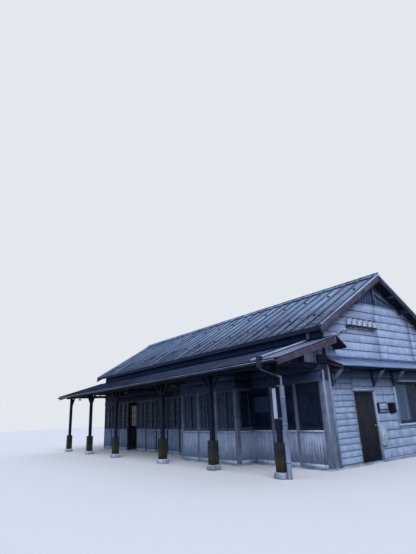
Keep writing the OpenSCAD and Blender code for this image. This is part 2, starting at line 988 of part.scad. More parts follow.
bracket_t = 60;
bracket_w = 50;
bracket_drop = 460;
bracket_len = pent_out - 40;
bracket_y = [front_y + 40, door_hole_y1 + 10, win_y0 - 90, rear_y - 100];
ledger_h = 85;
ledger_t = 45;
ledger_z = pent_z - pent_t - ledger_t * pent_fall / pent_out - ledger_h;
tail_len = 400;
tail_t = 60;
tail_h = 195;
pent_end_t = 22;
pent_end_h = [160, 90];

// Open bracket on the wall: leg, arm and slanting strut
module pent_bracket(arm_z)
    difference() {
        polygon([
            [0, arm_z],
            [bracket_len, arm_z],
            [bracket_len, arm_z - bracket_w],
            [bracket_w, arm_z - bracket_drop],
            [0, arm_z - bracket_drop]
        ]);
        polygon([
            [bracket_w, arm_z - bracket_w],
            [bracket_len - 2 * bracket_w, arm_z - bracket_w],
            [bracket_w, arm_z - bracket_drop + 2 * bracket_w]
        ]);
    }

module pent_brackets() {
    arm_z = pent_z - pent_fall - pent_t;
    color("#6b5c50") {
        for (y = bracket_y)
            translate([near_x, y + bracket_t, 0])
                rotate([90, 0, 0])
                    linear_extrude(bracket_t) pent_bracket(arm_z);
        // Ledger under the sheet, and its deeper tail past the corner
        block([near_x, front_y, ledger_z], [near_x + ledger_t, rear_y, ledger_z + ledger_h]);
        block([near_x, front_y - tail_len, ledger_z],
              [near_x + tail_t, front_y, ledger_z + tail_h]);
        // Tapered board that closes the platform end
        translate([near_x, front_y, 0])
            rotate([90, 0, 0])
                linear_extrude(pent_end_t)
                    polygon([
                        [tail_t, pent_z - tail_t * pent_fall / pent_out],
                        [pent_out, pent_z - pent_fall],
                        [pent_out, pent_z - pent_fall - pent_end_h[1]],
                        [tail_t, pent_z - pent_end_h[0]]
                    ]);
    }
}

// Gable door: frame with a threshold, a leaf on strap hinges at its platform side, a knob
threshold_h = 25;
frame_proud = 6;
door_face_x = near_x + frame_proud;
knuckle_r = 8;
hinge_x = door_face_x + knuckle_r;
hinge_y = door_y0 - door_gap / 2;
knuckle_h = 34;
knuckle_gap = 0.5;
pin_r = 4;
pin_fit = 0.05;
strap_t = 3;
strap_len = 240;
plate_len = 32;
hinge_z = [420, 1500];

// Fixed half of a hinge: two knuckles on one pin, each on its plate
module hinge_fixed()
    for (z = hinge_z)
        translate([hinge_x, hinge_y, z]) {
            cylinder(r = pin_r, h = 3 * knuckle_h, $fn = arc);
            for (dz = [0, 2 * knuckle_h])
                translate([0, 0, dz]) {
                    cylinder(r = knuckle_r, h = knuckle_h, $fn = arc);
                    translate([-knuckle_r, -plate_len, 0])
                        cube([strap_t, plate_len, knuckle_h]);
                }
        }

// Moving half of a hinge: the middle knuckle and its strap across the leaf
module hinge_moving()
    for (z = hinge_z)
        translate([hinge_x, hinge_y, z + knuckle_h + knuckle_gap])
            difference() {
                union() {
                    cylinder(r = knuckle_r, h = knuckle_h - 2 * knuckle_gap, $fn = arc);
                    translate([-knuckle_r, 0, 0])
                        cube([strap_t, strap_len, knuckle_h - 2 * knuckle_gap]);
                }
                translate([0, 0, -1])
                    cylinder(r = pin_r + pin_fit, h = knuckle_h + 2, $fn = arc);
            }

module gable_door_frame() {
    color("#aab1ba") {
        difference() {
            block([near_x - wall_t, door_hole_y0, floor_z],
                  [door_face_x, door_hole_y1, door_hole_top]);
            block([near_x - wall_t - 1, door_hole_y0 + jamb_t, floor_z + threshold_h],
                  [door_face_x + 1, door_hole_y1 - jamb_t, door_hole_top - jamb_t]);
        }
        hinge_fixed();
    }
}

module gable_door() {
    color("#4b3a35") {
        block([door_face_x - door_t, door_y0, floor_z + threshold_h + door_gap],
              [door_face_x, door_y1, door_top]);
        hinge_moving();
    }
}

knob_z = 950;
knob_in = 70;
knob_d = 50;
knob_h = 22;
rose_t = 6;
stem_d = 22;
stem_h = 40;

module door_knob() {
    color("#a8a8a0")
        translate([door_face_x, door_y1 - knob_in, knob_z])
            rotate([0, 90, 0]) {
                cylinder(d = knob_d, h = rose_t, $fn = arc);
                cylinder(d = stem_d, h = stem_h, $fn = arc);
                translate([0, 0, stem_h]) cylinder(d = knob_d, h = knob_h, $fn = arc);
            }
}

// Notice board, switch box and meter box: each has its distance from the platform corner,
// its height, and its width, height and depth
notice_box = [1990, 1250, 450, 250, 20];
switch_box = [2530, 1240, 310, 290, 60];
meter_box = [1885, 405, 220, 440, 90];

module wall_boxes() {
    color("#b9bfc8")
        for (b = [notice_box, switch_box, meter_box])
            translate([near_x, front_y + b[0], b[1]]) cube([b[4], b[2], b[3]]);
}

// Bare sign plate on the platform face of the near post
plate_w = 105;
plate_t = 12;
plate_z = [1265, 1945];

module sign_plate() {
    face_y = post_line_y - canopy_post / 2;
    color("#dfe4ea")
        block([canopy_post_x(0) - plate_w / 2, face_y - plate_t, plate_z[0]],
              [canopy_post_x(0) + plate_w / 2, face_y, plate_z[1]]);
}

// Crossarm with insulators, held off the gable wall by two spacers
rack_z = 3640;
rack_from = 1000;
rack_to = 2470;
rack_y = [front_y + rack_from, front_y + rack_to];
rack_off = 60;
rack_s = 50;
spacer_in = [150, 200];
spacer_more = 5;
insulators = 6;
insulator_in = 90;
insulator_d = [100, 70];
insulator_h = 150;

module insulator_rack() {
    run = rack_y[1] - rack_y[0] - 2 * insulator_in;
    color("#7b7f86") {
        block([near_x + rack_off, rack_y[0], rack_z],
              [near_x + rack_off + rack_s, rack_y[1], rack_z + rack_s]);
        for (y = [rack_y[0] + spacer_in[0], rack_y[1] - spacer_in[1]])
            block([near_x, y, rack_z - spacer_more],
                  [near_x + rack_off, y + rack_s, rack_z + rack_s + spacer_more]);
        for (i = [0 : insulators - 1])
            translate([
                near_x + rack_off + rack_s / 2,
                rack_y[0] + insulator_in + i * run / (insulators - 1),
                rack_z + rack_s
            ])
                cylinder(d1 = insulator_d[0], d2 = insulator_d[1], h = insulator_h, $fn = arc);
    }
}

// Shaded lamps under the canopy
lamp_out = 1400;
lamp_d = [180, 40];
lamp_h = 90;

module lamps() {
    color("#d8dce0")
        for (i = [1 : len(canopy_marks) - 1])
            translate([canopy_post_x(i), front_y - lamp_out, beam_bottom_z - lamp_h])
                cylinder(d1 = lamp_d[0], d2 = lamp_d[1], h = lamp_h, $fn = arc);
}

floor_slab();
front_posts();
front_dado();
front_upper_wall();
front_windows();
front_glass();
bay_posts();
bay_dado();
bay_upper_wall();
bay_windows();
bay_glass();
room_posts();
room_dado();
room_upper_wall();
room_windows();
room_glass();
near_gable_front();
near_gable_rear();
near_gable_top();
near_peak();
far_gable_wall();
far_peak();
gable_windows();
gable_glass();
rear_posts();
rear_dado();
rear_upper_wall();
rear_windows();
rear_glass();
purlins();
front_rafters();
rear_rafters();
front_roof();
rear_roof();
ridge_cap();
bargeboards();
canopy_bases();
canopy_sleeves();
canopy_posts();
canopy_beam();
canopy_ties();
canopy_braces();
canopy_rafters();
canopy_roof();
canopy_return();
canopy_bargeboards();
canopy_gutter();
downpipe();
end_infill();
pent_roof();
pent_brackets();
gable_door_frame();
gable_door();
door_knob();
wall_boxes();
sign_plate();
insulator_rack();
lamps();
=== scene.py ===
"""Looks of a small timber railway station house with a canopy along its platform front."""

import bpy
import numpy as np
from mathutils import Matrix


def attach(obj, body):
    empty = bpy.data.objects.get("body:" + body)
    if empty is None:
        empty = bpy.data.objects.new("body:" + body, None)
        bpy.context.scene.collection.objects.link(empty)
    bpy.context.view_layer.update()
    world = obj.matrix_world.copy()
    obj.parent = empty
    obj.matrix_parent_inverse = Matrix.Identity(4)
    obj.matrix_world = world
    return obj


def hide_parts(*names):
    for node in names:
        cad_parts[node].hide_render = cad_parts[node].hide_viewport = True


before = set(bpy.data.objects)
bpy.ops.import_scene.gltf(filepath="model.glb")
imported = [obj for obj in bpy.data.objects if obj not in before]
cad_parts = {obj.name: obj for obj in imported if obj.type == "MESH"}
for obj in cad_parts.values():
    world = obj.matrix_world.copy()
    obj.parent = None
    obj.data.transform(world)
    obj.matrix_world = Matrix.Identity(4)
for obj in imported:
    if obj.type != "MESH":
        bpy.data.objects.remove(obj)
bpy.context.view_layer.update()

# ---------------------------------------------------------------- viewpoint, lamps and floor
# The house is seen at eye height from across the platform edge, past its near gable, as in the
# photograph. It stands on a plain pale studio floor under wide soft lamps; none of this is part of it.

X, Y, Z = np.eye(3)  # along the platform to the near gable, into the house, up
eye = (14.403, -11.834, 1.423)
view_right = (0.58728, 0.80827, -0.04239)
view_up = (0.27801, -0.15226, 0.94843)
view_back = (0.76014, -0.56878, -0.31413)
camera_data = bpy.data.cameras.new("eye_height_view")
camera_data.lens = 26.99
camera_data.sensor_width = 36.0
camera_data.clip_end = 300.0
camera = bpy.data.objects.new("eye_height_view", camera_data)
turn = np.array([view_right, view_up, view_back]).T
camera.matrix_world = Matrix.Translation(eye) @ Matrix(turn.tolist()).to_4x4()
bpy.context.collection.objects.link(camera)
scene = bpy.context.scene
scene.camera = camera
scene.view_settings.view_transform = "Standard"


def linear(code):
    """sRGB hex to linear RGBA: c / 12.92 near black, else ((c + 0.055) / 1.055) to the power 2.4."""
    c = np.array([int(code[i : i + 2], 16) for i in (1, 3, 5)]) / 255
    c = np.where(c <= 0.04045, c / 12.92, ((c + 0.055) / 1.055) ** 2.4)
    return (*c.tolist(), 1.0)


def add(owner, kind, inputs=None, stops=None, **settings):
    """Adds one node to a material or world: its settings, its sockets' values or links, a ramp's stops."""
    made = owner.node_tree.nodes.new("ShaderNode" + kind)
    for name, value in settings.items():
        setattr(made, name, value)
    if stops:
        ramp = made.color_ramp
        while len(ramp.elements) < len(stops):
            ramp.elements.new(0.5)
        for element, (place, colour) in zip(ramp.elements, stops):
            element.position = place
            element.color = linear(colour)
    for name, value in (inputs or {}).items():
        named = [s for s in made.inputs if s.enabled and s.name == name]
        socket = made.inputs[name] if isinstance(name, int) else named[0]
        if isinstance(value, bpy.types.Node):
            value = [s for s in value.outputs if s.enabled][0]
        if isinstance(value, bpy.types.NodeSocket):
            owner.node_tree.links.new(value, socket)
        else:
            socket.default_value = linear(value) if isinstance(value, str) else value
    return made


def blank(owner):
    """Empties the nodes of a new material or world."""
    owner.use_nodes = True
    owner.node_tree.nodes.clear()
    return owner


def paint(name):
    """A new material, bare but for its place node, and the place that its patterns follow."""
    made = blank(bpy.data.materials.new(name))
    return made, add(made, "TexCoord").outputs["Object"]


def show(owner, shader):
    """Gives a material its shader."""
    add(owner, "OutputMaterial", {"Surface": shader})
    return owner


world = blank(bpy.data.worlds.new("studio_air"))
scene.world = world
path = add(world, "LightPath").outputs
seen = add(world, "Math", {0: path["Is Camera Ray"], 1: path["Is Glossy Ray"]}, operation="MAXIMUM")
seen = add(world, "Math", {0: seen, 1: path["Is Transmission Ray"]}, operation="MAXIMUM")
air = add(world, "Background", {"Color": "#cfdcf2", "Strength": 0.44})
backdrop = add(world, "Background", {"Color": "#e3e8ee", "Strength": 1.0})
add(world, "OutputWorld", {"Surface": add(world, "MixShader", {0: seen, 1: air, 2: backdrop})})


def lamp(name, towards, strength, softness, colour):
    """A wide soft lamp far away that shines along a direction."""
    data = bpy.data.lights.new(name, "SUN")
    data.energy = strength
    data.angle = np.radians(softness)
    data.color = linear(colour)[:3]
    made = bpy.data.objects.new(name, data)
    back = -np.array(towards, float) / np.linalg.norm(towards)
    side = np.cross(Z, back)
    side /= np.linalg.norm(side)
    made.matrix_world = Matrix(np.array([side, np.cross(back, side), back]).T.tolist()).to_4x4()
    bpy.context.collection.objects.link(made)


lamp("key_lamp", (-0.75, 0.42, -0.78), 2.3, 45, "#f8f9ff")
lamp("front_lamp", (0.25, 1.0, -0.75), 0.6, 70, "#e9f0ff")
lamp("rear_lamp", (0.4, -1.0, -0.9), 0.8, 70, "#f0f4ff")

# The floor looks pale to the eye but throws back little light, like a platform's dark surface.
floor_paint = blank(bpy.data.materials.new("studio_floor_paint"))
path = add(floor_paint, "LightPath").outputs
seen = add(floor_paint, "Math", {0: path["Is Camera Ray"], 1: path["Is Glossy Ray"]}, operation="MAXIMUM")
dull = add(floor_paint, "BsdfDiffuse", {"Color": "#7d8288"})
pale = add(floor_paint, "BsdfDiffuse", {"Color": "#d9dde2"})
show(floor_paint, add(floor_paint, "MixShader", {0: seen, 1: dull, 2: pale}))
floor_radius, floor_corners = 70, 96
angles = np.linspace(0, 2 * np.pi, floor_corners + 1)[:-1]
rim = floor_radius * np.stack([np.cos(angles), np.sin(angles), 0 * angles], 1)
floor_mesh = bpy.data.meshes.new("studio_floor")
floor_mesh.from_pydata(rim.tolist(), [], [list(range(floor_corners))])
floor_mesh.materials.append(floor_paint)
studio_floor = bpy.data.objects.new("studio_floor", floor_mesh)
bpy.context.collection.objects.link(studio_floor)

# ---------------------------------------------------------------- concrete floor and post bases
# The floor is cast concrete with a trowelled edge, and each canopy post stands on a cast block
# whose arrises are worn round. Both are grey, with stains half a metre wide.

# Cast against boards: fine sand of 3 mm, pores, and stains half a metre wide.
cast_concrete, spot = paint("cast_concrete")
sand = add(cast_concrete, "TexNoise", {"Vector": spot, "Scale": 300.0, "Detail": 3.0})
stain = add(cast_concrete, "TexNoise", {"Vector": spot, "Scale": 2.2, "Detail": 5.0})
tone = add(cast_concrete, "Math", {0: sand, 1: 0.25}, operation="MULTIPLY")
tone = add(cast_concrete, "Math", {0: stain, 1: tone}, operation="ADD")
tone = add(cast_concrete, "ValToRGB", {"Fac": tone},
    stops=[(0.40, "#66717f"), (0.58, "#94a3b6"), (0.78, "#b6c5d8")])
relief = add(cast_concrete, "Bump", {"Height": sand, "Strength": 0.5, "Distance": 0.002})
show(cast_concrete, add(cast_concrete, "BsdfPrincipled",
    {"Base Color": tone, "Roughness": 0.92, "Normal": relief}))


def coat(node, material):
    """Gives a CAD node its finish."""
    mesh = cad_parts[node].data
    mesh.materials.clear()
    mesh.materials.append(material)


def piece(name, parts, material, body="house", smooth=False):
    """Makes one mesh of several (points, faces, grain, tone) arrays and lets it ride on a body.
    Grain is (metres along, metres across, share of the width); tone is one number a bar.
    Faces are turned round where the volume that they enclose is negative."""
    shift = np.cumsum([0] + [len(p[0]) for p in parts])
    points, grain, tones = (np.concatenate([p[i] for p in parts]) for i in (0, 2, 3))
    corners, counts = [], []
    for first, (p, faces, *_) in zip(shift, parts):
        volume = 0.0
        for f in faces:
            for k in range(1, f.shape[1] - 1):
                volume += np.einsum("ij,ij->i", p[f[:, 0]], np.cross(p[f[:, k]], p[f[:, k + 1]])).sum()
        for f in faces:
            f = f[:, ::-1] if volume < 0 else f
            corners.append((f + first).ravel())
            counts.append(np.full(len(f), f.shape[1]))
    corners = np.concatenate(corners)
    counts = np.concatenate(counts)
    mesh = bpy.data.meshes.new(name)
    mesh.vertices.add(len(points))
    mesh.vertices.foreach_set("co", points.ravel())
    mesh.loops.add(len(corners))
    mesh.loops.foreach_set("vertex_index", corners)
    mesh.polygons.add(len(counts))
    mesh.polygons.foreach_set("loop_start", np.concatenate([[0], np.cumsum(counts)[:-1]]))
    layer = mesh.uv_layers.new(name="grain")
    layer.data.foreach_set("uv", grain[corners, :2].ravel())
    for title, values in (("tone", tones), ("share", grain[:, 2])):
        mesh.attributes.new(title, "FLOAT", "POINT").data.foreach_set("value", values.astype(np.float32))
    mesh.update(calc_edges=True)
    mesh.validate()
    mesh.materials.append(material)
    if smooth:
        mesh.shade_smooth()
    made = bpy.data.objects.new(name, mesh)
    bpy.context.collection.objects.link(made)
    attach(made, body)
    return made


def skins(bars, rings, corners):
    """The faces of bars that are each a row of rings: four-sided ones between one ring and the next,
    then the two ends of each bar."""
    n, m, k = np.meshgrid(np.arange(bars), np.arange(rings - 1), np.arange(corners), indexing="ij")
    first = (n * rings + m) * corners
    nxt = (k + 1) % corners
    sides = np.stack([first + k, first + nxt, first + corners + nxt, first + corners + k], -1)
    start = np.arange(bars)[:, None] * rings * corners
    near = start + np.arange(corners)[::-1]
    far = start + (rings - 1) * corners + np.arange(corners)
    return [sides.reshape(-1, 4), np.concatenate([near, far])]


def turned(profile, centre, axis=Z, sides=24, square=1.0):
    """A form of rings: point (ring, angle) = centre + axis * height + radius * (cos, sin) / m, where
    m is the p-norm of (cos, sin) with p = 2 / square, so that square below 1 makes rounded squares.
    The profile gives (radius, height) for each ring, and both ends are closed."""
    radius, height = np.array(profile, float).T
    axis = np.array(axis, float) / np.linalg.norm(axis)
    side = np.cross(axis, Y if abs(axis[1]) < 0.9 else X)
    side /= np.linalg.norm(side)
    other = np.cross(axis, side)
    angle = np.linspace(0, 2 * np.pi, sides, endpoint=False)
    norm = (np.abs(np.cos(angle)) ** (2 / square) + np.abs(np.sin(angle)) ** (2 / square)) ** (square / 2)
    ring = (np.cos(angle) / norm)[:, None] * side + (np.sin(angle) / norm)[:, None] * other
    points = np.array(centre) + height[:, None, None] * axis + radius[:, None, None] * ring
    rings = len(radius)
    grain = np.stack([np.repeat(height, sides), np.tile(angle, rings) * radius.max(),
        np.tile(angle / 2 / np.pi, rings)], 1)
    return points.reshape(-1, 3), skins(1, rings, sides), grain, np.zeros(rings * sides)


coat("floor_slab", cast_concrete)

post_x = (7.13, 4.55, 1.82, -1.82, -4.55, -7.2225)
post_y = -4.55
base_rings = [(0.135, 0.0), (0.145, 0.012), (0.145, 0.104), (0.140, 0.126), (0.128, 0.135)]
post_bases = piece("post_bases",
    [turned(base_rings, (x, post_y, 0), sides=32, square=0.12) for x in post_x], cast_concrete)
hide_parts("canopy_bases")

# ---------------------------------------------------------------- wall posts
# The wall posts are sawn cedar, 105 mm square, stood on the concrete. Those of the waiting room
# are stained dark; those of the office bay and the staff room are painted pale grey.


def timber(name, tones, along="grain", skin=None, wear=0.5, lap=None, grime="#596273", rough=0.8,
        spread=0.35, tight=0.0, runs=0.6, shade_or_algae=None):
    """Sawn wood in three tones, dark to light, streaked along its grain; a skin of paint or stain
    covers it and is worn through by the share wear. Lap is the colour of the shade in which both
    edges of a bar lie beside its neighbours; paint fills that in patches about a metre wide, by the
    share tight. The last argument gives two heights and a colour which gathers from the first height
    to the second: painted shade under a roof or a door's head, algae over damp ground."""
    made, spot = paint(name)
    fine, drawn = 75.0, 3.2
    size = {"grain": (drawn, fine, 1.0), "x": (drawn, fine, fine), "y": (fine, drawn, fine),
        "z": (fine, fine, drawn)}[along]
    place = add(made, "UVMap", uv_map="grain") if along == "grain" else spot
    bar = add(made, "Attribute", attribute_name="tone").outputs["Fac"]
    number = add(made, "Math", {0: bar, 1: 47.0}, operation="MULTIPLY")
    # Fibres are 13 mm wide streaks 0.3 m long; patches are a hand wide and follow no grain. Both are
    # drawn from another part of the noise for each bar.
    stretched = add(made, "VectorMath", {0: place, 1: size}, operation="MULTIPLY")
    fibre = add(made, "TexNoise", {"Vector": stretched, "W": number, "Scale": 1.0, "Detail": 5.0,
        "Roughness": 0.62}, noise_dimensions="4D")
    patch = add(made, "TexNoise", {"Vector": spot, "W": number, "Scale": 4.5, "Detail": 4.0,
        "Roughness": 0.6}, noise_dimensions="4D")
    colour = add(made, "ValToRGB", {"Fac": fibre}, stops=list(zip((0.33, 0.50, 0.68), tones)))
    if skin:
        # Paint thins out where fibres stand up and where patches of weather meet them.
        bare = add(made, "Math", {0: fibre, 1: patch}, operation="ADD")
        bare = add(made, "MapRange",
            {"Value": bare, "From Min": 1.36 - 0.3 * wear, "From Max": 1.48 - 0.3 * wear})
        coats = add(made, "ValToRGB", {"Fac": patch}, stops=list(zip((0.32, 0.52, 0.70), skin)))
        colour = add(made, "Mix", {"Factor": bare, "A": coats, "B": colour}, data_type="RGBA")
    # Each bar is a little lighter or darker than the next.
    lighter = add(made, "MapRange", {"Value": bar, "To Min": 1 - spread * 0.5, "To Max": 1 + spread * 0.35})
    colour = add(made, "HueSaturation", {"Color": colour, "Value": lighter})
    # Grime runs down in streaks a hand wide and gathers in patches.
    run = add(made, "VectorMath", {0: spot, 1: (9.0, 9.0, 1.1)}, operation="MULTIPLY")
    run = add(made, "TexNoise", {"Vector": run, "Scale": 1.0, "Detail": 4.0})
    run = add(made, "MapRange", {"Value": run, "From Min": 0.50, "From Max": 0.80, "To Max": runs})
    colour = add(made, "Mix", {"Factor": run, "A": colour, "B": grime}, data_type="RGBA")
    if lap:
        share = add(made, "Attribute", attribute_name="share").outputs["Fac"]
        low = add(made, "MapRange", {"Value": share, "From Max": 0.03, "To Min": 0.9, "To Max": 0.0})
        high = add(made, "MapRange", {"Value": share, "From Min": 0.93, "To Max": 0.95})
        shade = add(made, "Math", {0: low, 1: high}, operation="MAXIMUM")
        if tight:
            filled = add(made, "TexNoise", {"Vector": spot, "Scale": 1.1, "Detail": 2.0})
            filled = add(made, "MapRange",
                {"Value": filled, "From Min": 0.42, "From Max": 0.62, "To Min": 1 - tight})
            shade = add(made, "Math", {0: shade, 1: filled}, operation="MULTIPLY")
        colour = add(made, "Mix", {"Factor": shade, "A": colour, "B": lap}, data_type="RGBA")
    # Between two heights the wood darkens towards a colour: painted shade under a roof or a door's head,
    # algae over damp ground.
    if shade_or_algae:
        clean, covered, cover = shade_or_algae
        height = add(made, "SeparateXYZ", {"Vector": spot}).outputs["Z"]
        shade_or_algae_share = add(made, "Math", {0: patch, 1: 0.3}, operation="MULTIPLY")
        shade_or_algae_share = add(made, "Math", {0: height, 1: shade_or_algae_share}, operation="ADD")
        shade_or_algae_share = add(made, "MapRange",
            {"Value": shade_or_algae_share, "From Min": clean + 0.15, "From Max": covered + 0.15, "To Max": 0.8})
        colour = add(made, "Mix", {"Factor": shade_or_algae_share, "A": colour, "B": cover}, data_type="RGBA")
    relief = add(made, "Bump", {"Height": fibre, "Strength": 0.6, "Distance": 0.003})
    shine = add(made, "MapRange", {"Value": fibre, "To Min": rough - 0.12, "To Max": rough + 0.12})
    return show(made, add(made, "BsdfPrincipled",
        {"Base Color": colour, "Roughness": shine, "Specular IOR Level": 0.15, "Normal": relief}))


def carried(section, starts, ends, across, out, cuts=(0, 0), stations=2, wander=0.0, width=None, seed=1,
        tone=None):
    """Straight bars, each a closed section of (across, out) corners carried from its start to its end.
    Point (bar, station, corner) = start + (end - start) * t + across * a + out * o, its ends cut on a
    slope by along * a * cut; wander bends it sideways by a slow sine with a phase of its own."""
    dice = np.random.default_rng(seed)
    starts, ends = (np.atleast_2d(np.array(v, float)) for v in (starts, ends))
    count, corners = len(starts), np.shape(section)[-2]
    section = np.broadcast_to(np.array(section, float), (count, corners, 2))
    across, out, cuts = (np.broadcast_to(np.array(v, float), (count, n))
        for v, n in ((across, 3), (out, 3), (cuts, 2)))
    run = np.linalg.norm(ends - starts, axis=1)[:, None]
    along = (ends - starts) / run
    t = np.linspace(0, 1, stations)
    a, o = (section[:, None, :, i] + np.zeros((count, stations, corners)) for i in (0, 1))
    phase = dice.random((count, 3)) * 6.283
    bend = np.sin(t * run * 1.7 + phase[:, :1]) * wander
    lift = np.sin(t * run * 2.3 + phase[:, 1:2]) * wander
    slide = cuts[:, :1] * (1 - t) + cuts[:, 1:] * t
    d = (run * t)[:, :, None] + slide[:, :, None] * a
    points = (starts[:, None, None] + along[:, None, None] * d[..., None]
        + across[:, None, None] * (a + bend[:, :, None])[..., None]
        + out[:, None, None] * (o + lift[:, :, None])[..., None])
    low = a.min(axis=(1, 2), keepdims=True)
    wide = a.max(axis=(1, 2), keepdims=True) - low if width is None else width
    start_at = (starts * along).sum(1)[:, None, None]
    grain = np.stack([d + start_at, a, (a - low) / wide], -1)
    tones = dice.random(count) if tone is None else np.full(count, tone)
    return (points.reshape(-1, 3), skins(count, stations, corners), grain.reshape(-1, 3),
        np.repeat(tones, stations * corners))


def row(x, y, z):
    """Points in a row: each coordinate is one number for them all or a number for each."""
    return np.stack(np.broadcast_arrays(x, y, z), 1)


def bevelled(a0, a1, o0, o1, c=0.006):
    """The corners of a rectangle from (a0, o0) to (a1, o1), each arris cut off by c."""
    return [(a0 + c, o0), (a1 - c, o0), (a1, o0 + c), (a1, o1 - c), (a1 - c, o1), (a0 + c, o1),
        (a0, o1 - c), (a0, o0 + c)]


# Cedar stained with creosote: nearly black brown, greyer where the weather reaches it.
creosoted_cedar = timber("creosoted_cedar", ("#111723", "#1f2737", "#343f54"), along="z",
    grime="#30343d", rough=0.82)
# Cedar under thin grey oil paint, rubbed through on the arrises.
grey_painted_posts = timber("grey_oil_paint_on_posts", ("#45464b", "#63676e", "#82878f"), along="z",
    skin=("#65738a", "#7988a2", "#8c9bb5"), wear=0.4)
for node in ("front_posts", "rear_posts"):
    coat(node, creosoted_cedar)
for node in ("bay_posts", "room_posts"):
    coat(node, grey_painted_posts)

# ---------------------------------------------------------------- boards below the windows
# Narrow upright cedar boards, ten to each half ken of 0.91 m, are nailed over the sill framing and
# painted white. A sill board caps them and a weather strip runs along their foot.

white_dado_paint = timber("white_oil_paint_on_upright_boards", ("#3f4145", "#5d6064", "#7b7e83"),
    skin=("#8a9bb9", "#9eb1d0", "#afc1de"), wear=0.38, lap="#3c4454", spread=0.16, tight=0.75)
sill_paint = timber("white_oil_paint_on_sills", ("#4a4d52", "#66696f", "#85898f"),
    skin=("#95a6c5", "#aabcdb", "#bbcbe7"), wear=0.3, spread=0.15)
# Under the canopy the same paint is darkened as painted shade.
canopy_shade_dado_paint = timber("white_oil_paint_on_upright_boards_in_painted_shade", ("#23272e", "#353b45", "#4a515d"),
    skin=("#788cae", "#8b9fc2", "#9db1d2"), wear=0.38, lap="#232c3d", spread=0.25, tight=0.5,
    grime="#46546d")
floor_top, sill_z, head_z = 0.04, 0.93, 2.13
strip_top = floor_top + 0.10
half_ken, post_w = 0.91, 0.105
half_post = post_w / 2
front_y, rear_y, near_x, far_x = -2.73, 2.73, 7.28, -7.28
bay_far_x, bay_near_x, bay_y, room_y = 1.56, 4.54, -3.64, -3.03
board_w = half_ken / 10
stood, stood_sills, stood_feet, canopy_shaded = [], [], [], []


def upright(x0, y0, x1, y1, z0, z1, out, seed):
    """Upright boards side by side from one foot point to the other, each about a hand wide."""
    a, b = np.array((x0, y0, 0.0)), np.array((x1, y1, 0.0))
    run = np.linalg.norm(b - a)
    along = (b - a) / run
    count = max(1, round(run / board_w))
    middle = a + along * ((np.arange(count) + 0.5) * run / count)[:, None]
    depth = 0.002 + 0.003 * np.random.default_rng(seed).random(count)
    half = run / count / 2 - 0.0015
    section = np.tile([(-half, -0.006), (half, -0.006), (half, 0.008), (half - 0.004, 0.012),
        (-half + 0.004, 0.012), (-half, 0.008)], (count, 1, 1))
    section[:, 2:, 1] += depth[:, None]
    return carried(section, middle + (0, 0, z0), middle + (0, 0, z1), along, out, seed=seed)


def dado(x0, y0, x1, y1, out, seed, boards=stood):
    """Boards, sill and foot strip of one stretch of wall; the boards go to a list of their own."""
    boards.append(upright(x0, y0, x1, y1, strip_top, sill_z - 0.03, out, seed))
    sill = bevelled(sill_z - 0.042, sill_z - 0.004, -0.01, 0.045)
    foot = [(floor_top, -0.006), (floor_top, 0.026), (floor_top + 0.085, 0.022), (strip_top, 0.008),
        (strip_top, -0.006)]
    for section, parts in ((sill, stood_sills), (foot, stood_feet)):
        parts.append(carried(section, (x0, y0, 0), (x1, y1, 0), Z, out, seed=seed))


front_post_x = far_x + half_ken * np.arange(10)
front_post_x[0] = far_x + half_post
bay_post_x = (1.56, 2.518, 3.477, 4.435)
room_x = ((4.54, 5.348), (5.453, 6.262), (6.367, 7.175))
rear_post_x = np.round(far_x + 1.806875 * np.arange(9), 3)
# The waiting room's fourth stretch is the gate's doorway, the rear's second one the entrance.
front_stretches = (0, 1, 2, 4, 5, 6, 7, 8)
rear_stretches = (0, 2, 3, 4, 5, 6, 7)
for i in front_stretches:
    dado(front_post_x[i] + half_post, front_y, front_post_x[i + 1] - half_post, front_y, -Y, 11 + i, canopy_shaded)
for i in range(3):
    dado(bay_post_x[i] + post_w, bay_y, bay_post_x[i + 1], bay_y, -Y, 31 + i)
dado(bay_far_x, bay_y + post_w, bay_far_x, front_y, -X, 35)
dado(bay_near_x, bay_y + post_w, bay_near_x, room_y, X, 36)
for i, (x0, x1) in enumerate(room_x):
    dado(x0, room_y, x1, room_y, -Y, 41 + i)
for i in rear_stretches:
    dado(rear_post_x[i + 1], rear_y, rear_post_x[i] + post_w, rear_y, Y, 51 + i)
# The stretch of wall between the last waiting room window and the bay is boarded to its full height.
canopy_shaded.append(upright(front_post_x[9] + half_post, front_y, bay_far_x, front_y, strip_top, head_z, -Y, 61))
dado_boards = piece("dado_boards", stood, white_dado_paint)
canopy_shaded_boards = piece("dado_boards_under_canopy", canopy_shaded, canopy_shade_dado_paint)
dado_sills = piece("dado_sills", stood_sills, sill_paint)
dado_feet = piece("dado_feet", stood_feet, sill_paint)
# The wall behind the boards is planked on the inside and painted like them.
inner_planks = timber("white_oil_paint_on_planks", ("#47484b", "#606266", "#7b7e83"), along="x",
    skin=("#8f98a8", "#a3adbe", "#b2bccd"), wear=0.2)
for node in ("front_dado", "bay_dado", "room_dado", "rear_dado"):
    coat(node, inner_planks)

# ---------------------------------------------------------------- weatherboards
# The gables and the rear are closed with lapped cedar weatherboards, each nailed over the one below
# it and painted white; corner trims cover their ends. The wall over the front windows is bare and dark.

weatherboard_paint = timber("white_oil_paint_on_weatherboards", ("#3d4148", "#5c6169", "#7c828c"),
    skin=("#8d9fc3", "#a2b5d9", "#b4c6e6"), wear=0.32, lap="#2a3448", spread=0.16, tight=0.6,
    grime="#6d7f9f", runs=0.35)
bare_cedar = timber("weathered_bare_cedar", ("#293850", "#3e5070", "#586c8e"), lap="#131d2e",
    grime="#3c4d6b", spread=0.4)
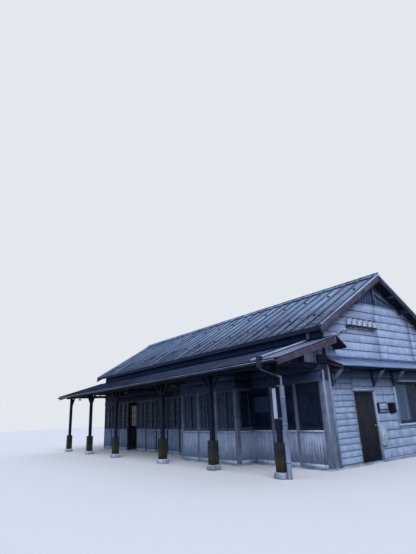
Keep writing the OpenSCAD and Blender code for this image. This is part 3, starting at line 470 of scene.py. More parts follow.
# Painted shade darkens the boards close under the pent roof, more towards the roof.
pent_shade_paint = timber("white_oil_paint_with_painted_shade_under_pent_roof", ("#3d4148", "#5c6169", "#7c828c"),
    skin=("#8092b3", "#94a7c8", "#a8bad8"), wear=0.32, lap="#2a3448", spread=0.16, grime="#5f6f8c",
    runs=0.45, shade_or_algae=(1.80, 2.42, "#1a2539"))
rain_bleached_cedar = timber("rain_bleached_cedar", ("#293f68", "#405a8a", "#5a76a8"), lap="#13213c",
    grime="#38517e", spread=0.4)
# Under the canopy the same boards are darkened nearly black as painted shade.
canopy_shade_cedar = timber("bare_cedar_in_painted_shade", ("#161d2a", "#242e3e", "#36415a"), lap="#0b0f18",
    grime="#273246", spread=0.4)
roof_pitch = np.radians(31.0)
roof_rise = np.tan(roof_pitch)
wall_top = 3.635
# Each wall's direction along, its direction outwards and a point of its face.
near_wall, far_wall = (Y, X, near_x * X), (Y, -X, far_x * X)
front_wall, rear_wall = (X, -Y, front_y * Y), (X, Y, rear_y * Y)
bay_wall, room_wall = (X, -Y, bay_y * Y), (X, -Y, room_y * Y)
bay_near_wall, bay_far_wall = (Y, X, bay_near_x * X), (Y, -X, bay_far_x * X)


def weatherboards(z0, z1, pitch, ends, gaps, wall, seed, joints=()):
    """Lapped boards between two heights. Each is a wedge whose foot stands out over the board below;
    ends gives the wall's two ends and the slope that they follow above the eaves, gaps the openings
    as (from, to, low, high). A board that meets an opening keeps what is over, under or beside it.
    Joints lie one over another where they are given; elsewhere long boards are joined anyhow."""
    along, out, face = wall
    dice = np.random.default_rng(seed)
    starts, stops, sections, cuts = [], [], [], []
    z = z0
    while z < z1 - 0.02:
        top = min(z + pitch, z1)
        marks = {ends[0], ends[1]}
        for g in gaps:
            if g[2] < top and g[3] > z:
                marks |= {g[0], g[1]}
        marks = sorted(m for m in marks if ends[0] <= m <= ends[1])
        for a, b in zip(marks[:-1], marks[1:]):
            low, high = z, top
            for g in gaps:
                if g[0] < (a + b) / 2 < g[1] and g[2] < high and g[3] > low:
                    low, high = (g[3], high) if g[3] - low < high - g[2] else (low, g[2])
            if high - low < 0.02:
                continue
            pieces = [a] + [joint for joint in joints if a + 0.1 < joint < b - 0.1]
            if b - a > 4 * half_ken and not joints:
                pieces.append(a + (b - a) * (0.3 + 0.4 * dice.random()))
            pieces.append(b)
            for p, q in zip(pieces[:-1], pieces[1:]):
                gap = 0.006 if joints else 0.0015
                foot = 0.012 + dice.random() * 0.0025
                lift = 0.014 if high == top and high < z1 else 0.0
                slope = [0.0, 0.0]
                if ends[2] and high > wall_top:
                    over = max((low - wall_top) / ends[2], 0)
                    left, right = ends[0] + over, ends[1] - over
                    if p < left + 0.3:
                        p, slope[0] = max(p, left), 1 / ends[2]
                    if q > right - 0.3:
                        q, slope[1] = min(q, right), -1 / ends[2]
                if q - p < 0.05:
                    continue
                starts.append(face + along * (p + gap) + (0, 0, low))
                stops.append(face + along * (q - gap) + (0, 0, low))
                t = high - low + lift
                sections.append([(0, foot - 0.010), (0, foot + 0.012), (0.004, foot + 0.014), (t, 0.007),
                    (t, 0.0)])
                cuts.append(slope)
        z = top
    return carried(sections, starts, stops, Z, out, cuts=cuts, stations=6, wander=0.0012, width=pitch,
        seed=seed)


lap_pitch, low_lap, foot = 0.2375, 0.0925, floor_top + 0.01
eaves_top, bay_top, room_top = 3.66, 2.89, 2.98
door_y0, door_y1, door_head = -1.745, -0.905, 1.83
hole = (door_y0 - 0.046, door_y1 + 0.046, 0.0, door_head + 0.046)
near_pane, far_panes = (0.28, 1.82), ((-2.015, -0.475), (0.475, 2.015))
over_heads = head_z + 0.02
peak_z, pent_high, joint_y = 4.4252, 2.72, (-0.14, 1.765)
eaves = (front_y, rear_y, roof_rise)
purlin_holes = [(y - 0.055, y + 0.055, 4.30, 5.0) for y in (front_y / 2, rear_y / 2)]
near_gap, *far_gaps = [(a - 0.02, b + 0.02, sill_z - 0.03, over_heads) for a, b in (near_pane, *far_panes)]
near_gaps = [hole, near_gap] + purlin_holes
far_gaps += purlin_holes
# Tarred laths lie behind the joints over the pent roof.
joint_laths = piece("joint_laths",
    [carried([(-0.014, -0.003), (0.014, -0.003), (0.014, 0.010), (-0.014, 0.010)], (near_x, y, 2.75),
        (near_x, y, z), Y, X, seed=64) for y, z in zip(joint_y, (4.415, 4.18))],
    timber("tarred_laths", ("#0b0f19", "#141a28", "#212a3b"), grime="#182030"))
gable_boards = piece("gable_weatherboards", [
    weatherboards(2.745, peak_z, lap_pitch, eaves, near_gaps, near_wall, 71, joints=joint_y),
    weatherboards(lap_pitch, peak_z, lap_pitch, eaves, far_gaps, far_wall, 75),
    weatherboards(foot, lap_pitch, 0.19, (front_y, rear_y, 0), [], far_wall, 69),
    weatherboards(over_heads, eaves_top, lap_pitch, (far_x, near_x, 0), [], rear_wall, 76)],
    weatherboard_paint)
low_boards = piece("boards_under_pent_roof", [
    weatherboards(floor_top + 0.058, pent_high, 0.152, (front_y, hole[0], 0), near_gaps, near_wall, 72),
    weatherboards(low_lap, pent_high, lap_pitch, (hole[0], rear_y, 0), near_gaps, near_wall, 73),
    weatherboards(foot, low_lap, 0.05, (hole[1], rear_y, 0), [], near_wall, 70)], pent_shade_paint)
lean_top = 3.27
bleached_wall = piece("boards_over_canopy",
    [weatherboards(lean_top, eaves_top, 0.2, (far_x, near_x, 0), [], front_wall, 77)], rain_bleached_cedar)
front_boards = piece("front_weatherboards", [
    weatherboards(over_heads, bay_top, lap_pitch, (bay_far_x, bay_near_x, 0), [], bay_wall, 78),
    weatherboards(over_heads, room_top, lap_pitch, (bay_near_x, near_x, 0), [], room_wall, 79)], bare_cedar)
canopy_shade_wall = piece("weatherboards_in_painted_shade", [
    weatherboards(over_heads, lean_top, lap_pitch, (far_x, near_x, 0), [], front_wall, 67),
    weatherboards(over_heads, bay_top, lap_pitch, (bay_y, room_y, 0), [], bay_near_wall, 66),
    weatherboards(over_heads, bay_top, lap_pitch, (bay_y, front_y, 0), [], bay_far_wall, 65)], canopy_shade_cedar)
# The staff room's end above the pent roof is closed by a few painted boards.
end_wall = piece("staff_room_end_boards",
    [weatherboards(2.79, 3.05, 0.13, (-3.028, -2.875, 0), [], near_wall, 68)], weatherboard_paint)
for node in ("near_gable_front", "near_gable_rear", "near_gable_top", "far_gable_wall", "rear_upper_wall"):
    coat(node, inner_planks)
inner_dark = timber("smoked_planks", ("#1c2432", "#2d394c", "#415069"), along="x", grime="#343a44")
for node in ("front_upper_wall", "bay_upper_wall", "room_upper_wall"):
    coat(node, inner_dark)

# ---------------------------------------------------------------- corner and opening trims
# Straight painted battens, 30 to 90 mm wide, are nailed round the windows and on the corners of the
# gables so that the boards' ends are covered. Heads and sills stand out further and shed water.


def batten(wall, start, end, w, proud=0.034, back=-0.004, arris=0.004, seed=1):
    """One batten on a wall, its width centred on the line between two (along, height) points."""
    along, out, face = wall
    across = along if start[0] == end[0] else Z
    ends = [face + along * a + (0, 0, z) for a, z in (start, end)]
    return carried(bevelled(-w / 2, w / 2, back, proud, arris), *ends, across, out, seed=seed)


trims = [batten(near_wall, (-2.69, 2.75), (-2.69, 3.60), 0.080, seed=80)]
for wall, y in ((near_wall, 2.685), (far_wall, -2.685), (far_wall, 2.685)):
    trims.append(batten(wall, (y, foot), (y, 3.60), 0.088, seed=83))
framed = [(near_wall, *near_pane, 0.044, 84)] + [(far_wall, *pane, 0.07, 87) for pane in far_panes]
for wall, a, b, w, seed in framed:
    for y in (a - 0.035, b + 0.035):
        trims.append(batten(wall, (y, sill_z - 0.04), (y, head_z + 0.035), 0.07, seed=seed))
    for z, width, proud, k in ((head_z + w / 2, w, 0.042, 1), (sill_z - 0.03, 0.05, 0.060, 2)):
        trims.append(batten(wall, (a - 0.09, z), (b + 0.09, z), width, proud=proud, seed=seed + k))
# A thin strip under the near peak, a narrow trim at the far side of the door and the rear's head rail.
trims.append(batten(near_wall, (-1.31, peak_z + 0.004), (1.31, peak_z + 0.004), 0.03, proud=0.02,
    back=-0.03, seed=90))
trims.append(batten(near_wall, (door_y1 + 0.066, foot), (door_y1 + 0.066, door_head + 0.043), 0.038,
    proud=0.036, seed=93))
rail_z = head_z + 0.01
trims.append(batten(rear_wall, (far_x, rail_z), (near_x, rail_z), 0.06, proud=0.03, seed=92))
# The head rails under the canopy are darkened as painted shade.
rails = ((front_wall, far_x, near_x), (bay_wall, bay_far_x, bay_near_x), (room_wall, bay_near_x, near_x))
head_rails = piece("head_rails_under_canopy",
    [batten(wall, (x0, rail_z), (x1, rail_z), 0.06, proud=0.03, seed=94) for wall, x0, x1 in rails],
    timber("oil_paint_on_head_rails_in_painted_shade", ("#23272f", "#363c47", "#4b535f"),
        skin=("#3d485c", "#4c5970", "#5d6b83"), wear=0.5, grime="#2d3546"))
wall_trims = piece("wall_trims", trims,
    timber("grey_white_oil_paint_on_trims", ("#4a4e55", "#666b73", "#858b95"),
        skin=("#93a4c2", "#a8bad8", "#b9cae4"), wear=0.28, spread=0.15))
# The staff room's end has two greyer battens of its own.
end_battens = piece("staff_room_end_battens",
    [batten(near_wall, (y, foot), (y, z), 0.075, proud=proud, seed=seed)
        for y, z, proud, seed in ((-2.70, 2.58, 0.034, 81), (-2.935, 2.40, 0.016, 82))],
    timber("grey_oil_paint_on_end_battens", ("#434750", "#5d626b", "#7a808a"),
        skin=("#73829c", "#8595b0", "#99a9c4"), wear=0.35, spread=0.15))
# The board over the door's head was painted last and is the whitest.
door_hood = piece("door_head_board",
    [batten(near_wall, (door_y0 - 0.085, door_head + 0.058), (door_y1 + 0.085, door_head + 0.058), 0.040,
        proud=0.055, arris=0.005, seed=91)],
    timber("newer_white_oil_paint", ("#62676f", "#7d838c", "#979da7"),
        skin=("#98a8c4", "#aab9d3", "#bac8e0"), wear=0.15, spread=0.1))

# ---------------------------------------------------------------- gable peaks
# Over the weatherboards each gable is closed by dark upright planks between the ridge beam and the
# side purlins, and by one wider plank under the ridge beam itself.

plank_edges = np.linspace(0.0575, 1.295, 9)
plank_y = (plank_edges[1:] + plank_edges[:-1]) / 2
plank_y = np.concatenate([-plank_y[::-1], plank_y])
half = (plank_edges[1] - plank_edges[0]) / 2 - 0.002
slant = np.where(plank_y > 0, -roof_rise, roof_rise)
peak_x, ridge_foot = 7.25, 5.121
peak_parts = []
for face, way, seed in ((peak_x, 1, 101), (-peak_x, -1, 102)):
    feet = row(face, plank_y, peak_z)
    heads = row(face, plank_y, wall_top + (rear_y - np.abs(plank_y)) * roof_rise - 0.004)
    peak_parts.append(carried([(-half, -0.004), (half, -0.004), (half, 0.014), (-half, 0.018)], feet,
        heads, Y, way * X, cuts=np.stack([0 * slant, slant], 1), seed=seed))
    peak_parts.append(carried([(-0.055, -0.004), (0.055, -0.004), (0.055, 0.014), (-0.055, 0.016)],
        (face, 0, peak_z), (face, 0, ridge_foot), Y, way * X, seed=seed + 5))
brown_planks = timber("weathered_brown_planks", ("#465472", "#65789e", "#8599c0"), lap="#222b3e",
    grime="#62769c", spread=0.4)
peak_planks = piece("peak_planks", peak_parts, brown_planks)
for node in ("near_peak", "far_peak"):
    coat(node, inner_dark)

# ---------------------------------------------------------------- windows
# Each window is a wooden frame with one or two sashes that slide past each other. Two thin bars
# cross every sash of the waiting room. The paint has gone grey; the panes are old, dusty glass.

aged_sash_paint = timber("aged_grey_oil_paint_on_sashes", ("#2e333c", "#474f5c", "#656f7e"), along="x",
    skin=("#414e66", "#54647f", "#687a96"), wear=0.5, grime="#36435a")
coat("front_windows", aged_sash_paint)
coat("rear_windows", aged_sash_paint)
coat("gable_windows", timber("dark_oil_paint_on_gable_sashes", ("#26282c", "#3a3d43", "#54575e"),
    along="y", skin=("#222b3c", "#2e394e", "#3d4a61"), wear=0.45, grime="#273042"))
coat("bay_windows", timber("pale_grey_oil_paint_on_sashes", ("#4b4d50", "#66696d", "#83868b"),
    along="x", skin=("#445168", "#546279", "#677590"), wear=0.4, grime="#3c485c"))
coat("room_windows", timber("navy_oil_paint_on_sashes", ("#171b24", "#232a37", "#323b4b"),
    along="x", skin=("#182131", "#222d40", "#2f3c52"), wear=0.35, grime="#1c2535"))
bars = []


def glazing_bars(origin, along, depth, width, sashes, rows, uprights, seed):
    """Bars of one window: its frame is 45 mm wide, its sashes 40 mm wide and 30 mm deep, and the bars
    lie in each sash's middle plane at equal parts of the clear height and width."""
    frame_w, sash_w = 0.045, 0.04
    clear = width - 2 * frame_w
    sash = clear / sashes + 0.02 if sashes > 1 else clear
    step = (clear - sash) / (sashes - 1) if sashes > 1 else 0.0
    low, high = sill_z + frame_w + sash_w, head_z - frame_w - sash_w
    for i in range(sashes):
        middle = origin + depth * (0.012 + 0.03 * (i % 2) + 0.015)
        a, b = frame_w + i * step + sash_w, frame_w + i * step + sash - sash_w
        for r in range(1, rows):
            z = low + (high - low) * r / rows
            bars.append(carried(bevelled(-0.011, 0.011, -0.011, 0.011, 0.003),
                middle + along * a + (0, 0, z), middle + along * b + (0, 0, z), Z, depth, seed=seed))
        for u in range(1, uprights + 1):
            x = a + (b - a) * u / (uprights + 1)
            bars.append(carried(bevelled(-0.009, 0.009, -0.010, 0.010, 0.003),
                middle + along * x + (0, 0, low), middle + along * x + (0, 0, high), along, depth,
                seed=seed))


for i in front_stretches:
    x0 = front_post_x[i] + half_post
    glazing_bars((x0, front_y + 0.015, 0), X, Y, front_post_x[i + 1] - half_post - x0, 2, 3, 0, 111 + i)
for i in range(3):
    glazing_bars((bay_post_x[i] + post_w, bay_y + 0.008, 0), X, Y,
        bay_post_x[i + 1] - bay_post_x[i] - post_w, 2, 1, 1, 121 + i)
bay_side = 0.805
for x in (bay_far_x + 0.09, bay_near_x):
    glazing_bars((x, bay_y + post_w, 0), Y, -X, bay_side, 1, 1, 1, 125)
for i in rear_stretches:
    glazing_bars((rear_post_x[i + 1], rear_y - 0.015, 0), -X, -Y,
        rear_post_x[i + 1] - rear_post_x[i] - post_w, 2, 3, 1, 131 + i)
for a, b in far_panes:
    glazing_bars((far_x + 0.015, b, 0), -Y, X, b - a, 2, 3, 1, 141)
window_bars = piece("window_bars", bars,
    timber("grey_oil_paint_on_glazing_bars", ("#2e333c", "#474f5c", "#656f7e"),
        skin=("#58647a", "#6f7e97", "#8493ad"), wear=0.35))


def pane_glass(name, tint, dust, clear, mask=None, cleaner_from=None):
    """Old drawn glass 5 mm thick under a film of dust: it mirrors less than clean glass and lets only
    a small share of light through. A mask (axis, low, high, z low, z high, two colours) is where a
    folded curtain or frosting backs it; below the X of cleaner_from the panes can be seen through."""
    made, spot = paint(name)
    film = add(made, "TexNoise", {"Vector": spot, "Scale": 2.6, "Detail": 6.0, "Roughness": 0.7})
    film = add(made, "MapRange", {"Value": film, "From Min": 0.35, "From Max": 0.75})
    colour = add(made, "Mix", {"Factor": film, "A": tint, "B": dust}, data_type="RGBA")
    dull = add(made, "MapRange", {"Value": film, "To Min": 0.05, "To Max": 0.30})
    see = add(made, "MapRange", {"Value": film, "To Min": clear, "To Max": clear + 0.18})
    if mask:
        xyz = add(made, "SeparateXYZ", {"Vector": spot}).outputs
        axis, low, high, z_low, z_high, fold, crest = mask
        inside = None
        for socket, edge, sense in ((axis, low, "GREATER_THAN"), (axis, high, "LESS_THAN"),
                ("Z", z_low, "GREATER_THAN"), ("Z", z_high, "LESS_THAN")):
            test = add(made, "Math", {0: xyz[socket], 1: edge}, operation=sense)
            inside = add(made, "Math", {0: inside, 1: test}, operation="MULTIPLY") if inside else test
        folds = add(made, "VectorMath", {0: spot, 1: (16.0, 16.0, 0.5)}, operation="MULTIPLY")
        folds = add(made, "TexNoise", {"Vector": folds, "Scale": 1.0, "Detail": 2.0})
        cloth = add(made, "ValToRGB", {"Fac": folds}, stops=[(0.36, fold), (0.66, crest)])
        colour = add(made, "Mix", {"Factor": inside, "A": colour, "B": cloth}, data_type="RGBA")
        dull = add(made, "Mix", {"Factor": inside, "A": dull, "B": 0.55}, data_type="FLOAT")
        see = add(made, "Mix", {"Factor": inside, "A": see, "B": 0.93}, data_type="FLOAT")
        if cleaner_from is not None:
            far = add(made, "Math", {0: xyz["X"], 1: cleaner_from}, operation="LESS_THAN")
            see = add(made, "Mix", {"Factor": far, "A": see, "B": 0.74}, data_type="FLOAT")
    return show(made, add(made, "BsdfPrincipled", {"Base Color": colour, "Roughness": dull, "IOR": 1.5,
        "Specular IOR Level": 0.05, "Alpha": see}))


old_glass = pane_glass("old_drawn_glass", "#112641", "#304964", 0.86)
for node in ("front_glass", "bay_glass", "rear_glass"):
    coat(node, old_glass)
coat("room_glass", pane_glass("frosted_and_clear_glass", "#0a1730", "#213453", 0.86,
    ("X", 4.50, 5.40, 1.42, 1.85, "#33455f", "#425675")))
coat("gable_glass", pane_glass("curtained_glass", "#14243a", "#2b3d56", 0.88,
    ("Y", 0.2, 1.075, 0.9, 2.2, "#43546c", "#617590"), cleaner_from=0.0))

# ---------------------------------------------------------------- gable door
# The door is made of upright planks painted dark brown, hung on steel strap hinges in a rebated
# grey frame. It rides on the door leaf, and so does its turned knob.


def mottled(name, stops, noise, rough, stretch=None, bump=None, **finish):
    """A surface in cloudy tones: noise gives the clouds' scale, detail and roughness, and stretch
    draws them out. Rough is a number, or a pair between which the clouds lead it; bump gives the
    relief's strength and its height in metres, and finish the other values of the shader."""
    made, spot = paint(name)
    if stretch:
        spot = add(made, "VectorMath", {0: spot, 1: stretch}, operation="MULTIPLY")
    scale, detail, grit = noise
    cloud = add(made, "TexNoise", {"Vector": spot, "Scale": scale, "Detail": detail, "Roughness": grit})
    shader = {"Base Color": add(made, "ValToRGB", {"Fac": cloud}, stops=stops), **finish}
    if isinstance(rough, tuple):
        rough = add(made, "MapRange", {"Value": cloud, "To Min": rough[0], "To Max": rough[1]})
    if bump:
        shader["Normal"] = add(made, "Bump", {"Height": cloud, "Strength": bump[0], "Distance": bump[1]})
    return show(made, add(made, "BsdfPrincipled", {**shader, "Roughness": rough}))


coat("gable_door", timber("dark_brown_oil_paint_on_door", ("#2c2324", "#3a2e2e", "#4b3d3b"), along="z",
    skin=("#191a20", "#212229", "#2b2c34"), wear=0.3, grime="#262a33"))
coat("gable_door_frame", grey_painted_posts)
door_face, door_foot, door_count = near_x + 0.006, 0.081, 7
edges = np.linspace(door_y0 + 0.004, door_y1 - 0.004, door_count + 1)
middle = (edges[1:] + edges[:-1]) / 2
feet = row(door_face, middle, door_foot)
half = (edges[1] - edges[0]) / 2 - 0.0015
# The planks darken towards their top as painted shadow under the door's head.
door_planks = piece("door_planks",
    [carried([(-half, -0.002), (half, -0.002), (half, 0.0015), (half - 0.004, 0.0028),
        (-half + 0.004, 0.0028), (-half, 0.0015)], feet, feet + (0, 0, door_head - 0.005 - door_foot), Y, X,
        seed=151)],
    timber("dark_brown_oil_paint_on_planks", ("#17191e", "#21242b", "#31343c"),
        skin=("#171b23", "#1f242e", "#2a303b"), wear=0.4, lap="#0e0e12", grime="#292d37", spread=0.25,
        shade_or_algae=(1.71, 1.80, "#04060c")), body="door_leaf")
# Turned and lacquered once, now dull.
dull_brass = mottled("dull_turned_brass", [(0.35, "#6d6656"), (0.65, "#a89f88")], (60.0, 4.0, 0.5),
    (0.28, 0.5), Metallic=1.0)
knob_rings = [(0.025, 0.0), (0.025, 0.003), (0.023, 0.006), (0.011, 0.007), (0.010, 0.030), (0.013, 0.037),
    (0.020, 0.042), (0.0245, 0.049), (0.0245, 0.055), (0.021, 0.060), (0.013, 0.062)]
knob = piece("turned_knob", [turned(knob_rings, (door_face, door_y1 - 0.07, 0.95), X, 32)],
    dull_brass, body="door_leaf", smooth=True)
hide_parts("door_knob")

# ---------------------------------------------------------------- roof timbers
# Purlins and rafters are sawn cedar stained dark, the rafters notched over the purlins and nailed,
# with their feet showing under the eaves. The canopy's rafters and tie beams have the same stain.

coat("purlins", timber("creosoted_purlins", ("#1c1f29", "#303646", "#485166"), along="x",
    grime="#363d4b"))
rafter_stain = timber("creosoted_rafters", ("#121a2b", "#1f2a42", "#313f5e"), along="y", grime="#243049")
for node in ("front_rafters", "rear_rafters", "canopy_rafters", "canopy_ties"):
    coat(node, rafter_stain)

# ---------------------------------------------------------------- main roof
# Painted steel sheet is laid in pans 0.49 m wide between wooden battens under folded caps, on rough
# sheathing. Sheets are joined every 1.8 m by a flat fold, and two rows of snow stops cross the slope.

eave_y, eave_z = 3.135, 3.5515
slope_len = eave_y / np.cos(roof_pitch)
rib_pitch, rib_first = 0.49, 7.44
main_sine = 0.515


def painted_sheet(name, tones, rib_at, rib_step, eave_height, rise, stain, dark_low=0.45, rough=0.55):
    """Steel sheet with chalked paint: each pan between ribs and each length of sheet has a tone of
    its own, rain draws streaks down the slope, painted shade lies against the ribs and grime near the eaves.
    The distance up the slope is (z - eave height) / rise, with rise the sine of the slope's angle."""
    made, spot = paint(name)
    xyz = add(made, "SeparateXYZ", {"Vector": spot}).outputs
    up = add(made, "Math", {0: xyz["Z"], 1: eave_height}, operation="SUBTRACT")
    up = add(made, "Math", {0: up, 1: rise}, operation="DIVIDE")
    pan = add(made, "Math", {0: xyz["X"], 1: rib_at}, operation="SUBTRACT")
    pan = add(made, "Math", {0: pan, 1: rib_step}, operation="DIVIDE")
    number = add(made, "Math", {0: pan}, operation="FLOOR")
    within = add(made, "Math", {0: pan}, operation="FRACT")
    # Lengths of 1.82 m, each pan's folds a little higher than its neighbour's.
    length = add(made, "Math", {0: number, 1: 0.37}, operation="MULTIPLY")
    length = add(made, "Math", {0: up, 1: length}, operation="ADD")
    length = add(made, "Math", {0: length, 1: 1.82}, operation="DIVIDE")
    length = add(made, "Math", {0: length}, operation="FLOOR")
    cell = add(made, "CombineXYZ", {"X": number, "Y": length})
    dice = add(made, "TexWhiteNoise", {"Vector": cell}, noise_dimensions="2D")
    # Chalked paint varies over a hand's width; streaks are 40 mm wide and a metre long.
    chalk = add(made, "TexNoise", {"Vector": spot, "Scale": 3.0, "Detail": 6.0, "Roughness": 0.65})
    line = add(made, "CombineXYZ", {"X": xyz["X"], "Y": up})
    drawn = add(made, "VectorMath", {0: line, 1: (24.0, 0.9, 1.0)}, operation="MULTIPLY")
    drawn = add(made, "TexNoise", {"Vector": drawn, "Scale": 1.0, "Detail": 5.0})
    mixed = add(made, "Math", {0: chalk, 1: drawn}, operation="ADD")
    mixed = add(made, "Math", {0: mixed, 1: 0.5}, operation="MULTIPLY")
    each = add(made, "MapRange", {"Value": dice.outputs["Value"], "To Min": -0.07, "To Max": 0.07})
    mixed = add(made, "Math", {0: mixed, 1: each}, operation="ADD")
    colour = add(made, "ValToRGB", {"Fac": mixed}, stops=list(zip((0.38, 0.50, 0.63), tones)))
    # Painted shade against both sides of each rib, 40 mm wide, and a broad band of grime towards the eaves.
    side = add(made, "Math", {0: within, 1: 0.5}, operation="SUBTRACT")
    side = add(made, "Math", {0: side}, operation="ABSOLUTE")
    side = add(made, "MapRange", {"Value": side, "From Min": 0.37, "From Max": 0.46, "To Max": 0.62})
    low = add(made, "MapRange", {"Value": up, "From Min": 2.3, "From Max": 0.9, "To Max": dark_low})
    speck = add(made, "TexNoise", {"Vector": spot, "Scale": 7.0, "Detail": 6.0, "Roughness": 0.7})
    speck = add(made, "Math", {0: speck, 1: 0.4}, operation="MULTIPLY")
    washed = add(made, "VectorMath", {0: line, 1: (11.0, 0.55, 1.0)}, operation="MULTIPLY")
    washed = add(made, "TexNoise", {"Vector": washed, "Scale": 1.0, "Detail": 4.0})
    washed = add(made, "Math", {0: washed, 1: 0.6}, operation="MULTIPLY")
    speck = add(made, "Math", {0: speck, 1: washed}, operation="ADD")
    speck = add(made, "MapRange", {"Value": speck, "From Min": 0.41, "From Max": 0.53})
    low = add(made, "Math", {0: low, 1: speck}, operation="MULTIPLY")
    rib_shade_and_grime = add(made, "Math", {0: side, 1: low}, operation="MAXIMUM")
    colour = add(made, "Mix", {"Factor": rib_shade_and_grime, "A": colour, "B": stain}, data_type="RGBA")
    dent = add(made, "TexNoise", {"Vector": spot, "Scale": 5.0, "Detail": 2.0})
    relief = add(made, "Bump", {"Height": dent, "Strength": 0.35, "Distance": 0.02})
    shine = add(made, "MapRange", {"Value": chalk, "To Min": rough - 0.1, "To Max": rough + 0.25})
    return show(made, add(made, "BsdfPrincipled",
        {"Base Color": colour, "Roughness": shine, "Specular IOR Level": 0.15, "Normal": relief}))


roof_sheet = painted_sheet("chalked_blue_grey_roof_sheet", ("#566a8b", "#6d84a6", "#879dbf"), rib_first,
    rib_pitch, eave_z, main_sine, "#141d33", dark_low=0.85)
bright_sheet = painted_sheet("bright_zinc_trim", ("#8394b8", "#9dafd1", "#b6c6e2"), 0.0, 3.0, eave_z,
    main_sine, "#56627a", dark_low=0.2, rough=0.4)
rusted_cleats = painted_sheet("rusted_cleats", ("#2b2a2f", "#39383d", "#4b4a50"), 0.0, 3.0, eave_z,
    main_sine, "#1b1a1e", rough=0.7)


def ribbed_section(x0, x1, ribs, rib_w, rib_h, bottom):
    """The outline of a ribbed sheet across its slope: up each rib, over its folded cap and down
    again, 6 mm of cap standing proud on both sides, and back along the flat underside."""
    ribs = np.sort([r for r in ribs if x0 + rib_w < r < x1 - rib_w])
    h = rib_w / 2
    form = np.array([(-h, -rib_h), (-h, -0.010), (-h - 0.006, -0.008), (-h - 0.006, -0.001),
        (h + 0.006, -0.001), (h + 0.006, -0.008), (h, -0.010), (h, -rib_h)])
    up_down = (ribs[:, None, None] * (1, 0) + form[None]).reshape(-1, 2)
    return np.concatenate([[(x0, bottom), (x0, -rib_h)], up_down, [(x1, -rib_h), (x1, bottom)]])


def flat_boards(first, last, low, high):
    """Sections of flat boards, one for each pair of first and last, from low to high outwards."""
    across = np.stack([first, last, last, first], 1)
    return np.stack([across, np.broadcast_to((low, low, high, high), across.shape)], 2)


def slope_frame(angle, y_edge, z_edge, way):
    """Foot point, direction up the slope and outward direction of a roof slope; way -1 is the front."""
    up = np.array((0, -way * np.cos(angle), np.sin(angle)))
    out = np.array((0, way * np.sin(angle), np.cos(angle)))
    return np.array((0, way * y_edge, z_edge)), up, out


verge_x = 7.58
rib_x = rib_first - rib_pitch * np.arange(31)
edges = np.sort(np.concatenate([[-verge_x + 0.03], rib_x, [verge_x - 0.03]]))
left, right = edges[:-1] + 0.026, edges[1:] - 0.026
pan_x = (edges[1:-2] + edges[2:-1]) / 2
pan_step = 0.24 * (np.arange(len(left)) * 7 % 4 - 1.5) / 1.5
course, joint = 0.152, 0.002
outline = ribbed_section(-verge_x, verge_x, rib_x, 0.045, 0.038, -0.045)
sheets, folds, stops, sheathing, verges = [], [], [], [], []
for way in (-1, 1):
    foot, up, out = slope_frame(roof_pitch, eave_y, eave_z, way)
    sheets.append(carried(outline, foot, foot + up * slope_len, X, out, stations=12, tone=0.5))
    # Flat folds across the pans, each pan's a little higher up than its neighbour's.
    for at, seed in ((0.92, 160), (2.74, 161)):
        base = foot + up * (at + pan_step)[:, None]
        folds.append(carried([(-0.009, -0.040), (0.012, -0.040), (0.010, -0.033), (-0.009, -0.034)],
            base + np.outer(left, X), base + np.outer(right, X), up, out, seed=seed))
    # Snow stops: bent steel cleats, one to every second pan.
    for at, first in ((1.04, 0), (2.70, 1)):
        base = foot + up * at + np.outer(pan_x[first::2], X)
        stops.append(carried([(-0.045, -0.040), (0.035, -0.040), (0.035, -0.034), (-0.036, -0.034),
            (-0.036, 0.012), (-0.045, 0.012)], base - (0.04, 0, 0), base + (0.04, 0, 0), up, out, seed=170))
    # Rough sheathing boards run along the roof and show between the rafters.
    rows = np.arange(0.0, slope_len - 0.02, course)
    top = np.minimum(rows + course - joint, slope_len - 0.008)
    base = foot + up * rows[:, None]
    sheathing.append(carried(flat_boards(0 * rows + 0.001, top - rows, -0.0615, -0.0460),
        base - (verge_x - 0.002, 0, 0), base + (verge_x - 0.002, 0, 0), up, out, seed=180))
    # Verge caps: a bright folded strip over the sheet's edge, with a lip down the bargeboard.
    for x, side in ((verge_x, 1), (-verge_x, -1)):
        corners = [(-0.030 * side, -0.038), (-0.026 * side, -0.002), (0.004 * side, 0.0),
            (0.006 * side, -0.050), (0.0, -0.050), (-0.002 * side, -0.038)]
        verges.append(carried(corners, foot + (x, 0, 0), foot + up * (slope_len - 0.01) + (x, 0, 0), X, out,
            tone=0.5))
for side, sheet in zip(("front", "rear"), sheets):
    made = piece(side + "_roof_sheet", [sheet], roof_sheet)
    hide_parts(side + "_roof")
roof_sheathing = piece("roof_sheathing", sheathing,
    timber("weathered_sheathing_cedar", ("#1d222d", "#303745", "#4a5364"), lap="#10141c",
        grime="#323b4b", spread=0.5))
seams = piece("roof_folds", folds, roof_sheet)
cleats = piece("snow_stops", stops, rusted_cleats)
verge_caps = piece("verge_caps", verges, bright_sheet)
coat("ridge_cap", roof_sheet)

# ---------------------------------------------------------------- bargeboards
# Sawn boards cover the rafters' ends at both verges, cut plumb at the ridge and at the foot. Their
# brown paint has faded towards purple. A post and a pale strut brace the near verge from the peak.

